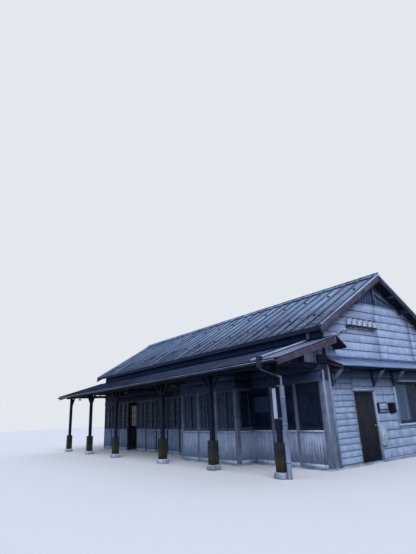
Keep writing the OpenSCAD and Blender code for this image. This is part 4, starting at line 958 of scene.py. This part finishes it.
strut_paint = timber("grey_oil_paint_on_struts", ("#3b4352", "#565f71", "#707b8e"),
    skin=("#4a5970", "#5e6e8a", "#7485a2"), wear=0.4, spread=0.3, grime="#424e64")
verge_boards = []
# The rear slope's boards take a much darker tone than the front's as painted shade.
for way, shade in ((-1, 0.75), (1, 0.05)):
    foot, up, out = slope_frame(roof_pitch, eave_y, eave_z, way)
    for x in (7.55, -7.58):
        verge_boards.append(carried(bevelled(-0.2075, -0.0625, 0.0, 0.030, 0.004),
            foot + up * 0.006 + (x, 0, 0), foot + up * slope_len + (x, 0, 0), out, X, stations=8,
            cuts=(roof_rise, roof_rise), wander=0.0008, seed=190 + way, tone=shade))
bargeboards = piece("verge_boards", verge_boards,
    timber("faded_brown_paint_on_bargeboards", ("#2f2e36", "#535260", "#7a7888"),
        skin=("#393744", "#4b4858", "#5f5b6d"), wear=0.75, grime="#4a5166", spread=1.1))
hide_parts("bargeboards")
strut_x, lookout_z = 7.29, 4.756
gable_post = piece("peak_post", [carried(bevelled(-0.030, 0.030, 0.0, 0.06, 0.005),
    (strut_x, -0.08, 4.47), (strut_x, -0.08, 5.03), Y, X, seed=195)], strut_paint)
lookouts = piece("verge_lookouts", [carried(bevelled(-0.04, 0.04, 0.0, 0.10, 0.005),
    (near_x, y, lookout_z), (7.545, y, lookout_z), Y, Z, seed=197) for y in (-0.69, 0.69)], brown_planks)
gable_strut = piece("peak_strut", [carried(bevelled(-0.028, 0.028, 0.0, 0.045, 0.004),
    (strut_x, -0.02, 4.86), (strut_x, 0.72, 4.60), (0, 0.33, 0.944), X, seed=196)], strut_paint)

# ---------------------------------------------------------------- canopy posts and sleeves
# Square cedar posts with chamfered arrises carry the canopy. Thick boards are nailed round the foot
# of each one against carts and damp, and algae has grown on them near the concrete.

beam_z, sleeve_z, base_top = 2.4707, 0.75, 0.135
half_canopy_post = 0.0575
# The posts and braces darken upwards towards the canopy as painted shade.
stained_posts = timber("creosoted_posts", ("#070d1a", "#10192b", "#1f2b43"), grime="#142036",
    shade_or_algae=(1.80, 2.30, "#040a18"))
foot_points = np.array([(x, post_y, base_top) for x in post_x])
posts = piece("chamfered_posts", [carried(bevelled(-half_canopy_post, half_canopy_post,
    -half_canopy_post, half_canopy_post, 0.012), foot_points, foot_points + (0, 0, beam_z - base_top), X, Y,
    stations=10, wander=0.0008, seed=201)], stained_posts)
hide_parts("canopy_posts")
casing = []
for side, (across, outward) in enumerate(((X, -Y), (Y, X), (-X, Y), (-Y, -X))):
    # Two boards on each face, the faces lapping round the corners in turn.
    for j, (a, b) in enumerate(((-0.0985, 0.0025), (0.0055, 0.1065))):
        drop = 0.004 * ((side + j) % 3)
        casing.append(carried(bevelled(a, b, 0.0585, 0.1075, 0.004), foot_points,
            foot_points + (0, 0, sleeve_z - base_top - drop), across, outward, stations=4, wander=0.0006,
            seed=211 + 2 * side + j))
sleeves = piece("sleeve_boards", casing,
    timber("algae_on_sleeve_boards", ("#0a1117", "#182127", "#313c3c"),
        skin=("#141c22", "#1f282d", "#2e3636"), wear=0.7, lap="#090d11", grime="#30352f", spread=0.7,
        shade_or_algae=(0.55, 0.10, "#4b4633")))
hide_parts("canopy_sleeves")

# ---------------------------------------------------------------- canopy beam, braces and ties
# A beam runs over all the posts with its top cut to the roof's slope. Straight braces are notched
# into post and beam and pinned; tie beams go back to the wall behind each post.

# Rust blooms a centimetre wide over a thin skin of old paint.
rusty_steel = mottled("rusted_flat_steel", [(0.36, "#34302f"), (0.52, "#5a463c"), (0.68, "#7a5a45")],
    (45.0, 6.0, 0.7), 0.75, bump=(0.5, 0.002), Metallic=0.35)
coat("canopy_beam", timber("creosoted_beam", ("#0e131f", "#1b2132", "#2e374b"), along="x",
    grime="#20293b"))
brace_reach, diagonal = 0.367, np.sqrt(0.5)
brace_bars, pins = [], []
for i, x in enumerate(post_x):
    for side in (1, -1):
        # The end posts have no brace outwards.
        if (i == 0 and side == 1) or (i == len(post_x) - 1 and side == -1):
            continue
        low = np.array((x + side * half_canopy_post, post_y, beam_z - brace_reach))
        high = np.array((x + side * (half_canopy_post + brace_reach), post_y, beam_z))
        brace_bars.append(carried(bevelled(-0.0375, 0.0375, -0.030, 0.030), low, high,
            (-side * diagonal, 0, diagonal), Y, stations=5, cuts=(1.0, -1.0), seed=221 + i))
        for t in (0.12, 0.88):
            pins.append(turned([(0.011, -0.034), (0.011, -0.031), (0.009, -0.030), (0.009, 0.030),
                (0.011, 0.031), (0.011, 0.034)], low + (high - low) * t, Y, 8))
braces = piece("canopy_brace_bars", brace_bars, stained_posts)
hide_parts("canopy_braces")
brace_pins = piece("brace_bolts", pins, rusty_steel)

# ---------------------------------------------------------------- canopy roof
# The lean-to roof is painted sheet with standing seams over boards. Its last bay at the near end
# was laid anew with plain pale sheet behind one high seam, and brown bargeboards close both ends.

lean, lean_reach = np.radians(16.5), 2.25
lean_y, lean_z = 4.98, lean_top - lean_reach * np.tan(lean)
lean_len = lean_reach / np.cos(lean)
lean_sine = 0.284
lean_far, lean_near, seam_x = -7.88, 7.69, 6.82
lean_foot, lean_up, lean_out = slope_frame(lean, lean_y, lean_z, -1)
lean_head = lean_foot + lean_up * lean_len
seam_pitch, at_seam = 0.455, np.array((seam_x, 0, 0))
canopy_sheet = painted_sheet("grimy_canopy_sheet", ("#243354", "#384b70", "#516794"), seam_x, seam_pitch,
    lean_z, lean_sine, "#131b2e", dark_low=0.75)
outline = ribbed_section(lean_far, seam_x - 0.002, seam_x - seam_pitch * np.arange(33), 0.018, 0.020,
    -0.027)
lean_sheet = piece("canopy_sheet", [carried(outline, lean_foot, lean_head, X, lean_out, stations=8,
    tone=0.5)], canopy_sheet)
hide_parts("canopy_roof")
back_pitch = np.radians(35.0)
back_len = 0.4 / np.cos(back_pitch)
back_down = np.array((0, np.cos(back_pitch), -np.sin(back_pitch)))
back_out = np.array((0, np.sin(back_pitch), np.cos(back_pitch)))
near_bay = piece("canopy_near_bay", [
    carried([(seam_x, -0.027), (lean_near, -0.027), (lean_near, -0.004), (lean_near - 0.03, 0.0),
        (lean_near - 0.05, -0.012), (seam_x, -0.012)], lean_foot, lean_head, X, lean_out, stations=8,
        tone=0.5),
    # Verge lip over the far bargeboard.
    carried([(lean_far - 0.004, -0.050), (lean_far, -0.050), (lean_far + 0.002, -0.004),
        (lean_far + 0.03, -0.003), (lean_far + 0.03, 0.0), (lean_far - 0.004, 0.0)], lean_foot, lean_head,
        X, lean_out, tone=0.3),
    # The sheet goes on over the short slope behind the ridge of the lean-to.
    carried([(0.001, -0.003), (back_len - 0.001, -0.003), (back_len - 0.001, 0.002), (0.001, 0.002)],
        (near_x + 0.001, front_y, lean_top), (lean_near, front_y, lean_top), back_down, back_out,
        tone=0.5)],
    painted_sheet("dull_zinc_sheet_of_last_bay", ("#50617f", "#647699", "#7a8cae"), seam_x + 0.035, 1.2,
        lean_z, lean_sine, "#1b2438", dark_low=0.3, rough=0.5))
# The sheet is folded down over the boards along the whole drip edge; the fold's near-black colour is painted
# shade.
drip_edge = piece("canopy_drip_edge",
    [carried([(0.0, -0.040), (0.006, -0.040), (0.006, -0.020), (0.016, -0.012), (-0.006, -0.012),
        (-0.008, -0.034)], lean_foot + (lean_far, 0, 0), lean_foot + (lean_near, 0, 0), lean_up, lean_out,
        tone=0.4)],
    timber("painted_shade_on_the_drip_edge", ("#060b17", "#0b1322", "#141d30"), along="x", grime="#0f1829"))
# A dark strip in the trough beside the seam is painted shade.
trough = piece("canopy_trough_painted_shade",
    [carried([(0.027, -0.0115), (0.098, -0.0115), (0.090, -0.009), (0.027, -0.006)],
        lean_foot + at_seam + lean_up * 0.02, lean_head + at_seam, X, lean_out, stations=10, wander=0.002,
        seed=232)],
    timber("painted_shade_in_the_trough", ("#080d18", "#0e1624", "#172033"), grime="#121a29", rough=0.9))
high_seam = piece("canopy_high_seam",
    [carried([(0.0, -0.012), (0.028, -0.012), (0.028, 0.034), (0.022, 0.040), (0.006, 0.040),
        (0.0, 0.034)], lean_foot + at_seam, lean_head + at_seam, X, lean_out, stations=10, wander=0.0015,
        tone=0.8)], bright_sheet)
# Its white upstand where it meets the wall under the main eaves; its paint is lighter than the other white
# paint as painted light.
seam_end = piece("seam_upstand",
    [carried([(0.002, 0.0), (0.026, 0.0), (0.026, 0.20), (0.002, 0.22)], (seam_x, -2.86, 3.235),
        (seam_x, -2.735, 3.265), X, Z, tone=0.9)],
    timber("white_paint_on_upstand_with_painted_light", ("#98a5ba", "#b4c1d6", "#d0dbed"), skin=("#c0cde2", "#d3def0", "#e4edfa"),
        wear=0.2, spread=0.1))
sheathing_wood = timber("rough_sheathing_cedar", ("#1b2232", "#2c374b", "#43526d"), lap="#0a0b0f",
    grime="#242831", spread=0.6)
rows = np.arange(0.0, lean_len - 0.02, course)
top = np.minimum(rows + course - joint, lean_len - 0.006)
base = lean_foot + lean_up * rows[:, None]
lean_boards = piece("canopy_sheathing",
    [carried(flat_boards(0 * rows + 0.001, top - rows, -0.0455, -0.0280), base + (lean_far + 0.003, 0, 0),
        base + (lean_near - 0.003, 0, 0), lean_up, lean_out, seed=231)], sheathing_wood)
coat("canopy_return", creosoted_cedar)
coat("canopy_bargeboards", timber("faded_brown_paint_on_canopy_boards", ("#302f3c", "#565368", "#7b7a92"),
    along="y", skin=("#403a4a", "#5a5063", "#736a7f"), wear=0.8, grime="#4a5573"))

# ---------------------------------------------------------------- gutter and downpipe
# A half-round zinc gutter with a beaded lip hangs on flat straps under the canopy edge. An outlet
# box and a swept neck lead the water to a grey plastic pipe clipped to the near post.

# Rolled zinc: cloudy spangle 30 mm wide over broader patches, in dark tones that are painted shade on the
# gutter's body.
zinc_in_painted_shade, spot = paint("zinc_in_painted_shade")
cloud = add(zinc_in_painted_shade, "TexNoise", {"Vector": spot, "Scale": 30.0, "Detail": 5.0, "Roughness": 0.6})
wash = add(zinc_in_painted_shade, "TexNoise", {"Vector": spot, "Scale": 2.5, "Detail": 4.0})
tone = add(zinc_in_painted_shade, "Math", {0: cloud, 1: wash}, operation="ADD")
tone = add(zinc_in_painted_shade, "Math", {0: tone, 1: 0.5}, operation="MULTIPLY")
tone = add(zinc_in_painted_shade, "ValToRGB", {"Fac": tone},
    stops=[(0.40, "#121c30"), (0.50, "#1c2a46"), (0.62, "#2c3d5f")])
dull = add(zinc_in_painted_shade, "MapRange", {"Value": cloud, "To Min": 0.35, "To Max": 0.6})
show(zinc_in_painted_shade, add(zinc_in_painted_shade, "BsdfPrincipled",
    {"Base Color": tone, "Metallic": 0.1, "Roughness": dull, "Specular IOR Level": 0.2}))


def half_round(outer, inner):
    """The section of a trough between two radii: outer * (cos, sin) from 180 to 360 degrees, then
    inner * (cos, sin) back again."""
    bend = np.radians(np.linspace(180, 360, 15))
    arc = np.stack([np.cos(bend), np.sin(bend)], 1)
    return np.concatenate([outer * arc, inner * arc[::-1]])


gutter_y, gutter_z = -5.015, 2.5432
gutter_ends = [(x, gutter_y, gutter_z) for x in (lean_far, lean_near)]
strap_x = np.arange(lean_far + 0.3, lean_near, half_ken)
strap_at = row(strap_x, gutter_y, gutter_z)
gutter = piece("beaded_gutter", [
    carried(half_round(0.055, 0.052), *gutter_ends, Y, Z, stations=9, tone=0.5),
    carried(half_round(0.0585, 0.0555), strap_at, strap_at + (0.025, 0, 0), Y, Z, seed=241)], zinc_in_painted_shade)
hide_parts("canopy_gutter")
bead = np.radians(np.linspace(0, 315, 8))
# The beaded lip is bright sheet as a painted highlight along the dark gutter.
lip = piece("gutter_lip",
    [carried(np.stack([-0.0535 + 0.006 * np.cos(bead), 0.006 * np.sin(bead)], 1), *gutter_ends, Y, Z,
        tone=0.5)], bright_sheet)
# Plastic pipe bleached by the sun, with dust in bands a hand high.
grey_plastic, spot = paint("grey_weathered_plastic")
dust = add(grey_plastic, "VectorMath", {0: spot, 1: (6.0, 6.0, 1.2)}, operation="MULTIPLY")
dust = add(grey_plastic, "TexNoise", {"Vector": dust, "Scale": 1.0, "Detail": 6.0, "Roughness": 0.65})
tone = add(grey_plastic, "ValToRGB", {"Fac": dust},
    stops=[(0.36, "#56657f"), (0.52, "#7485a3"), (0.70, "#8c9dbb")])
# The outlet box is tarred, and so is the neck up to the post.
xyz = add(grey_plastic, "SeparateXYZ", {"Vector": spot}).outputs
tarred_box = add(grey_plastic, "MapRange", {"Value": xyz["Z"], "From Min": 2.412, "From Max": 2.420})
tarred_neck = add(grey_plastic, "MapRange",
    {"Value": xyz["Y"], "From Min": -4.61, "From Max": -4.66, "To Max": 0.8})
tarred = add(grey_plastic, "Math", {0: tarred_box, 1: tarred_neck}, operation="MAXIMUM")
tone = add(grey_plastic, "Mix", {"Factor": tarred, "A": tone, "B": "#1b2231"}, data_type="RGBA")
dull = add(grey_plastic, "MapRange", {"Value": dust, "To Min": 0.35, "To Max": 0.65})
show(grey_plastic, add(grey_plastic, "BsdfPrincipled",
    {"Base Color": tone, "Roughness": dull, "Specular IOR Level": 0.2}))
coat("downpipe", grey_plastic)
pipe_x = 7.335
collars = [turned([(0.0545, z), (0.0595, z + 0.002), (0.0600, z + 0.055), (0.0560, z + 0.060)],
    (pipe_x, post_y, 0), sides=32) for z in (0.32, 1.10, 1.69)]
pipe_collars = piece("pipe_collars", collars, grey_plastic, smooth=True)

# ---------------------------------------------------------------- boards over the near tie beam
# The opening between the near tie beam and the canopy is closed by a few upright white boards,
# nailed to both faces of a dark panel and cut to the canopy's slope.

coat("end_infill", creosoted_cedar)
edges = np.linspace(-3.455, room_y, 4)
middle = (edges[1:] + edges[:-1]) / 2
half = (edges[1] - edges[0]) / 2 - 0.0015
infill_x, under_lean = 7.145, lean_top - 0.111
feet = row(infill_x, middle, beam_z + 0.12)
heads = row(infill_x, middle, under_lean + (middle - front_y) * np.tan(lean))
infill_boards = [carried([(-half, -0.001), (half, -0.001), (half, 0.008), (-half, 0.010)],
    feet + (x, 0, 0), heads + (x, 0, 0), Y, way * X, cuts=(0, np.tan(lean)), seed=251 + way)
    for x, way in ((0.0, 1), (-0.030, -1))]
# One more covers the staff room's corner beside them.
infill_boards.append(carried(bevelled(-0.058, 0.058, -0.004, 0.032, 0.003), (7.218, room_y, 2.585),
    (7.218, room_y, 2.96), X, -Y, seed=253))
# Their white paint is lighter than the other white paint as painted light.
end_boards = piece("end_boards", infill_boards,
    timber("white_oil_paint_on_end_boards_with_painted_light", ("#6d737c", "#8a919c", "#a6adb8"),
        skin=("#b6c6e0", "#cad9f1", "#dae7fa"), wear=0.15, spread=0.1))

# ---------------------------------------------------------------- pent roof
# A pale sheet roof on boards shelters the gable's door and window. It hangs on four sawn brackets,
# its sheets are joined by flat folds, and a faded red-brown board closes its platform end.

pent_reach, pent_drop = 0.50, 0.23
pent_len = np.hypot(pent_reach, pent_drop)
fall = np.array((pent_reach, 0.0, -pent_drop)) / pent_len
rise = np.array((pent_drop, 0.0, pent_reach)) / pent_len
pent_near, pent_far = (np.array((near_x, y, pent_high)) for y in (front_y, rear_y))
fold_y = np.arange(-1.95, 2.7, half_ken)
fold_at = row(near_x, fold_y, pent_high)
pent_sheet = piece("pent_sheet", [
    carried([(0.0, -0.012), (0.0, -0.001), (pent_len - 0.004, -0.001), (pent_len, -0.006),
        (pent_len, -0.032), (pent_len - 0.004, -0.032), (pent_len - 0.006, -0.012)], pent_near, pent_far,
        fall, rise, stations=7, wander=0.0012, tone=0.6),
    # The flashing that runs up the wall behind it.
    carried([(0.0, -0.006), (0.055, -0.003), (0.055, 0.0), (0.004, 0.0)], pent_near + (0.002, 0, 0.004),
        pent_far + (0.002, 0, 0.004), fall, rise, tone=0.4),
    carried([(-0.010, -0.002), (0.010, -0.002), (0.009, 0.004), (-0.009, 0.003)], fold_at + fall * 0.02,
        fold_at + fall * (pent_len - 0.002), Y, rise, seed=261),
    # A folded strip nailed over the lowest weatherboard.
    carried([(2.768, 0.010), (2.800, 0.010), (2.798, 0.030), (2.764, 0.036)], (near_x, -2.645, 0),
        (near_x, 2.72, 0), Z, X, stations=9, wander=0.0015, tone=0.9)],
    painted_sheet("pale_pent_roof_sheet", ("#6a80aa", "#7f96c0", "#94aad2"), 0.0, 3.0, 2.49, 0.46,
        "#4a566a", dark_low=0.1, rough=0.5))
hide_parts("pent_roof")
rows = np.arange(0.0, pent_len - 0.02, 0.137)
pent_boards = piece("pent_boards", [carried(flat_boards(rows + 0.001, rows + 0.134, -0.032, -0.0125),
    np.tile(pent_near + (0, 0.004, 0), (len(rows), 1)), np.tile(pent_far - (0, 0.004, 0), (len(rows), 1)),
    fall, rise, seed=262)], sheathing_wood)
# A thin strip along the lower edge of the board that closes the platform end.
pent_end = piece("pent_end_strip", [carried(bevelled(0.0, 0.032, -0.004, 0.014, 0.003),
    (7.345, -2.752, 2.548), (7.776, -2.752, 2.402), (0.32, 0, 0.947), -Y, stations=5, seed=263)],
    timber("faded_red_brown_paint", ("#3e2f30", "#583f3f", "#6f504c"),
        skin=("#41333b", "#533f48", "#634c53"), wear=0.4))
coat("pent_brackets", timber("creosoted_brackets", ("#16171f", "#242630", "#383a45"), along="x",
    grime="#2b303b"))
bracket_y = np.array((-2.69, -0.849, 0.19, 2.63)) + 0.03
strut_foot, strut_reach = row(near_x + 0.030, bracket_y, 2.024), 0.380
bracket_struts = piece("bracket_struts", [carried(bevelled(-0.0365, 0.0365, -0.0315, 0.0315, 0.004),
    strut_foot, strut_foot + (strut_reach, 0, strut_reach), (-diagonal, 0, diagonal), -Y, seed=264)],
    strut_paint)

# ---------------------------------------------------------------- boxes on the gable wall
# A notice board with bare sheets, a dark steel switch box and a pale meter box with a rounded cover
# are screwed to the boards between door and window.

# Grey enamel gone dull; rust creeps out of chips a few millimetres wide.
box_steel, spot = paint("dark_enamelled_steel_box")
chips = add(box_steel, "TexNoise", {"Vector": spot, "Scale": 55.0, "Detail": 5.0, "Roughness": 0.7})
chips = add(box_steel, "MapRange", {"Value": chips, "From Min": 0.66, "From Max": 0.72})
wash = add(box_steel, "TexNoise", {"Vector": spot, "Scale": 6.0, "Detail": 4.0})
tone = add(box_steel, "ValToRGB", {"Fac": wash}, stops=[(0.38, "#090d18"), (0.62, "#141a29")])
tone = add(box_steel, "Mix", {"Factor": chips, "A": tone, "B": "#4a3836"}, data_type="RGBA")
show(box_steel, add(box_steel, "BsdfPrincipled",
    {"Base Color": tone, "Roughness": 0.6, "Specular IOR Level": 0.03}))


def box_form(y0, y1, z0, z1, depth, c, lid=0.0):
    """A box on the gable: rounded rectangle in the wall's plane carried outwards, its front arrises
    drawn in by c, and a lid whose rim stands proud by lid."""
    sides = 32
    angle = np.linspace(0, 2 * np.pi, sides, endpoint=False) + np.pi / sides
    m = (np.abs(np.cos(angle)) ** 9 + np.abs(np.sin(angle)) ** 9) ** (1 / 9)
    rings = [(0.0, 0.0), (0.0, depth - c), (-c, depth)]
    if lid:
        rings[1:2] = [(0.0, depth - 0.030), (lid, depth - 0.030), (lid, depth - c)]
    points = np.concatenate([row(near_x + d, (y0 + y1) / 2 + np.cos(angle) / m * ((y1 - y0) / 2 + grow),
        (z0 + z1) / 2 + np.sin(angle) / m * ((z1 - z0) / 2 + grow)) for grow, d in rings])
    grain = points[:, [1, 2, 2]] * (1, 1, 0)
    return points, skins(1, len(rings), sides), grain, np.full(len(points), 0.5)


# Pale plastic cover, yellowed and dusty.
meter = piece("meter_box", [box_form(-0.845, -0.625, 0.405, 0.845, 0.090, 0.018)],
    mottled("pale_meter_cover", [(0.36, "#8492a8"), (0.52, "#a3b1c8"), (0.66, "#b9c6da")],
        (9.0, 6.0, 0.6), 0.45))
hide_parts("wall_boxes")
switch = piece("switch_box", [box_form(-0.225, 0.100, 1.250, 1.525, 0.059, 0.004, 0.004)], box_steel)
board_y0, board_y1, board_depth = -0.805, -0.24, 0.034
board = piece("notice_board", [box_form(board_y0, board_y1, 1.26, 1.54, board_depth, 0.002)],
    timber("stained_notice_board", ("#11141f", "#1c2130", "#2a3143"), along="y", grime="#1d2433"))
# Paper cockled by damp; the lower sheet has been wet longer and is darker.
bare_paper, spot = paint("weathered_bare_paper")
damp = add(bare_paper, "TexNoise", {"Vector": spot, "Scale": 14.0, "Detail": 5.0})
tone = add(bare_paper, "ValToRGB", {"Fac": damp},
    stops=[(0.38, "#8e9cb4"), (0.55, "#a6b5ce"), (0.70, "#b7c6de")])
height = add(bare_paper, "SeparateXYZ", {"Vector": spot}).outputs["Z"]
wet = add(bare_paper, "MapRange", {"Value": height, "From Min": 1.350, "From Max": 1.335})
tone = add(bare_paper, "Mix", {"Factor": wet, "A": tone, "B": "#66758f"}, data_type="RGBA")
relief = add(bare_paper, "Bump", {"Height": damp, "Strength": 0.4, "Distance": 0.004})
show(bare_paper, add(bare_paper, "BsdfPrincipled", {"Base Color": tone, "Roughness": 0.9, "Normal": relief}))
paper_x, paper_y = near_x + 0.0338, -0.475
paper = piece("bare_notice_sheets",
    [carried([(-half, 0.0), (half, 0.0), (half, 0.0045), (-half, 0.0045)], (paper_x, paper_y, low),
        (paper_x, paper_y, high), Y, X, stations=6, wander=0.0008, seed=271)
        for half, low, high in ((0.205, 1.356, 1.508), (0.222, 1.270, 1.334))], bare_paper)

# ---------------------------------------------------------------- insulator rack
# A galvanised crossarm stands off the gable on two spacers and carries six grooved porcelain
# insulators. No wire is left on them.

arm_y0, arm_y1, arm_z = -1.73, -0.26, 3.64
arm = [carried([(0.0, 0.0), (0.050, 0.0), (0.050, 0.005), (0.005, 0.005), (0.005, 0.045), (0.050, 0.045),
    (0.050, 0.050), (0.0, 0.050)], (near_x + 0.060, arm_y0, arm_z), (near_x + 0.060, arm_y1, arm_z), X, Z,
    seed=281)]
for y in (arm_y0 + 0.150, arm_y1 - 0.200):
    arm.append(carried(bevelled(0.0, 0.050, -0.005, 0.055, 0.004), (near_x, y, arm_z),
        (near_x + 0.061, y, arm_z), Y, Z, seed=282))
# Zinc gone dull.
crossarm = piece("crossarm", arm, mottled("galvanised_steel",
    [(0.36, "#272c36"), (0.52, "#3d434e"), (0.66, "#5a616c")], (70.0, 4.0, 0.5), 0.55, Metallic=0.5))
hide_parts("insulator_rack")
sheds = 1.2 * np.array([(0.010, -0.004), (0.010, 0.022), (0.047, 0.004), (0.050, 0.014), (0.040, 0.034),
    (0.030, 0.046), (0.041, 0.052), (0.043, 0.062), (0.033, 0.080), (0.023, 0.092), (0.023, 0.104),
    (0.032, 0.112), (0.033, 0.128), (0.022, 0.143), (0.006, 0.148)])
dice = np.random.default_rng(291)
rack_at = [(near_x + 0.085, y, arm_z + 0.050) for y in np.linspace(arm_y0 + 0.09, arm_y1 - 0.09, 6)]
leans = np.stack([0.06 * (dice.random(6) - 0.5), 0.08 * (dice.random(6) - 0.5), np.ones(6)], 1)
knobs = [turned(sheds, at, way) for at, way in zip(rack_at, leans)]
# Three reels on the wall beside the rack, each on its own bolt.
reel_at = ((-2.10, 3.42), (-1.95, 3.50), (-1.77, 3.53))
reel = [(0.012, -0.002), (0.040, 0.004), (0.043, 0.016), (0.026, 0.028), (0.026, 0.038), (0.043, 0.050),
    (0.040, 0.062), (0.010, 0.066), (0.010, 0.074)]
knobs += [turned(reel, (near_x + 0.016, y, z), X) for y, z in reel_at]
# White glaze with a film of soot.
insulators = piece("insulators", knobs, mottled("glazed_porcelain",
    [(0.38, "#a3adbf"), (0.55, "#ccd6e6"), (0.70, "#e0e7f2")], (40.0, 5.0, 0.5), 0.22), smooth=True)
# An iron cap ends each rack insulator, and a washer under a bolt's head holds each reel.
caps = [turned([(0.030, 0.0), (0.033, 0.010), (0.026, 0.026), (0.010, 0.038)], at + 0.160 * way, way,
    sides=16) for at, way in zip(rack_at, leans)]
caps += [turned([(0.020, 0.0), (0.024, 0.004), (0.024, 0.010), (0.014, 0.012), (0.012, 0.022)],
    (near_x + 0.082, y, z), X, sides=16) for y, z in reel_at]
# Tarred iron, browner where the tar has worn off.
iron_caps = piece("insulator_irons", caps, mottled("black_iron",
    [(0.40, "#10131b"), (0.56, "#1d212b"), (0.70, "#3a302e")], (60.0, 5.0, 0.5), 0.6,
    **{"Specular IOR Level": 0.2}))

# ---------------------------------------------------------------- sign plate and lamps
# An enamelled plate, left bare, is screwed to the platform face of the near post. Enamelled steel
# shades hang under the canopy behind the other posts.

# White enamel, dusty, with rust bleeding down in thin lines.
coat("sign_plate", mottled("bare_enamel_plate",
    [(0.40, "#a3b5d2"), (0.58, "#b7c8e2"), (0.76, "#8d8c98")], (1.0, 4.0, 0.5), 0.35,
    stretch=(40.0, 40.0, 3.0)))
screws = [turned([(0.008, 0.0), (0.008, 0.002), (0.005, 0.004)], (post_x[0] + dx, post_y - 0.0695, z), -Y,
    12) for dx in (-0.042, 0.042) for z in (1.28, 1.93)]
plate_screws = piece("plate_screws", screws, rusty_steel)
shade_rings = [(0.086, 0.003), (0.090, 0.0), (0.091, 0.004), (0.078, 0.022), (0.050, 0.044), (0.024, 0.056),
    (0.020, 0.066), (0.020, 0.0895)]
shades = [turned(shade_rings, (x, -4.13, beam_z - 0.090), sides=32) for x in post_x[1:]]
# White enamel inside and out, chipped and dusty.
lamp_shades = piece("lamp_shades", shades, mottled("shade_enamel",
    [(0.38, "#5b6676"), (0.56, "#8592a5"), (0.70, "#a3afc0")], (22.0, 6.0, 0.5), 0.4), smooth=True)
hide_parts("lamps")
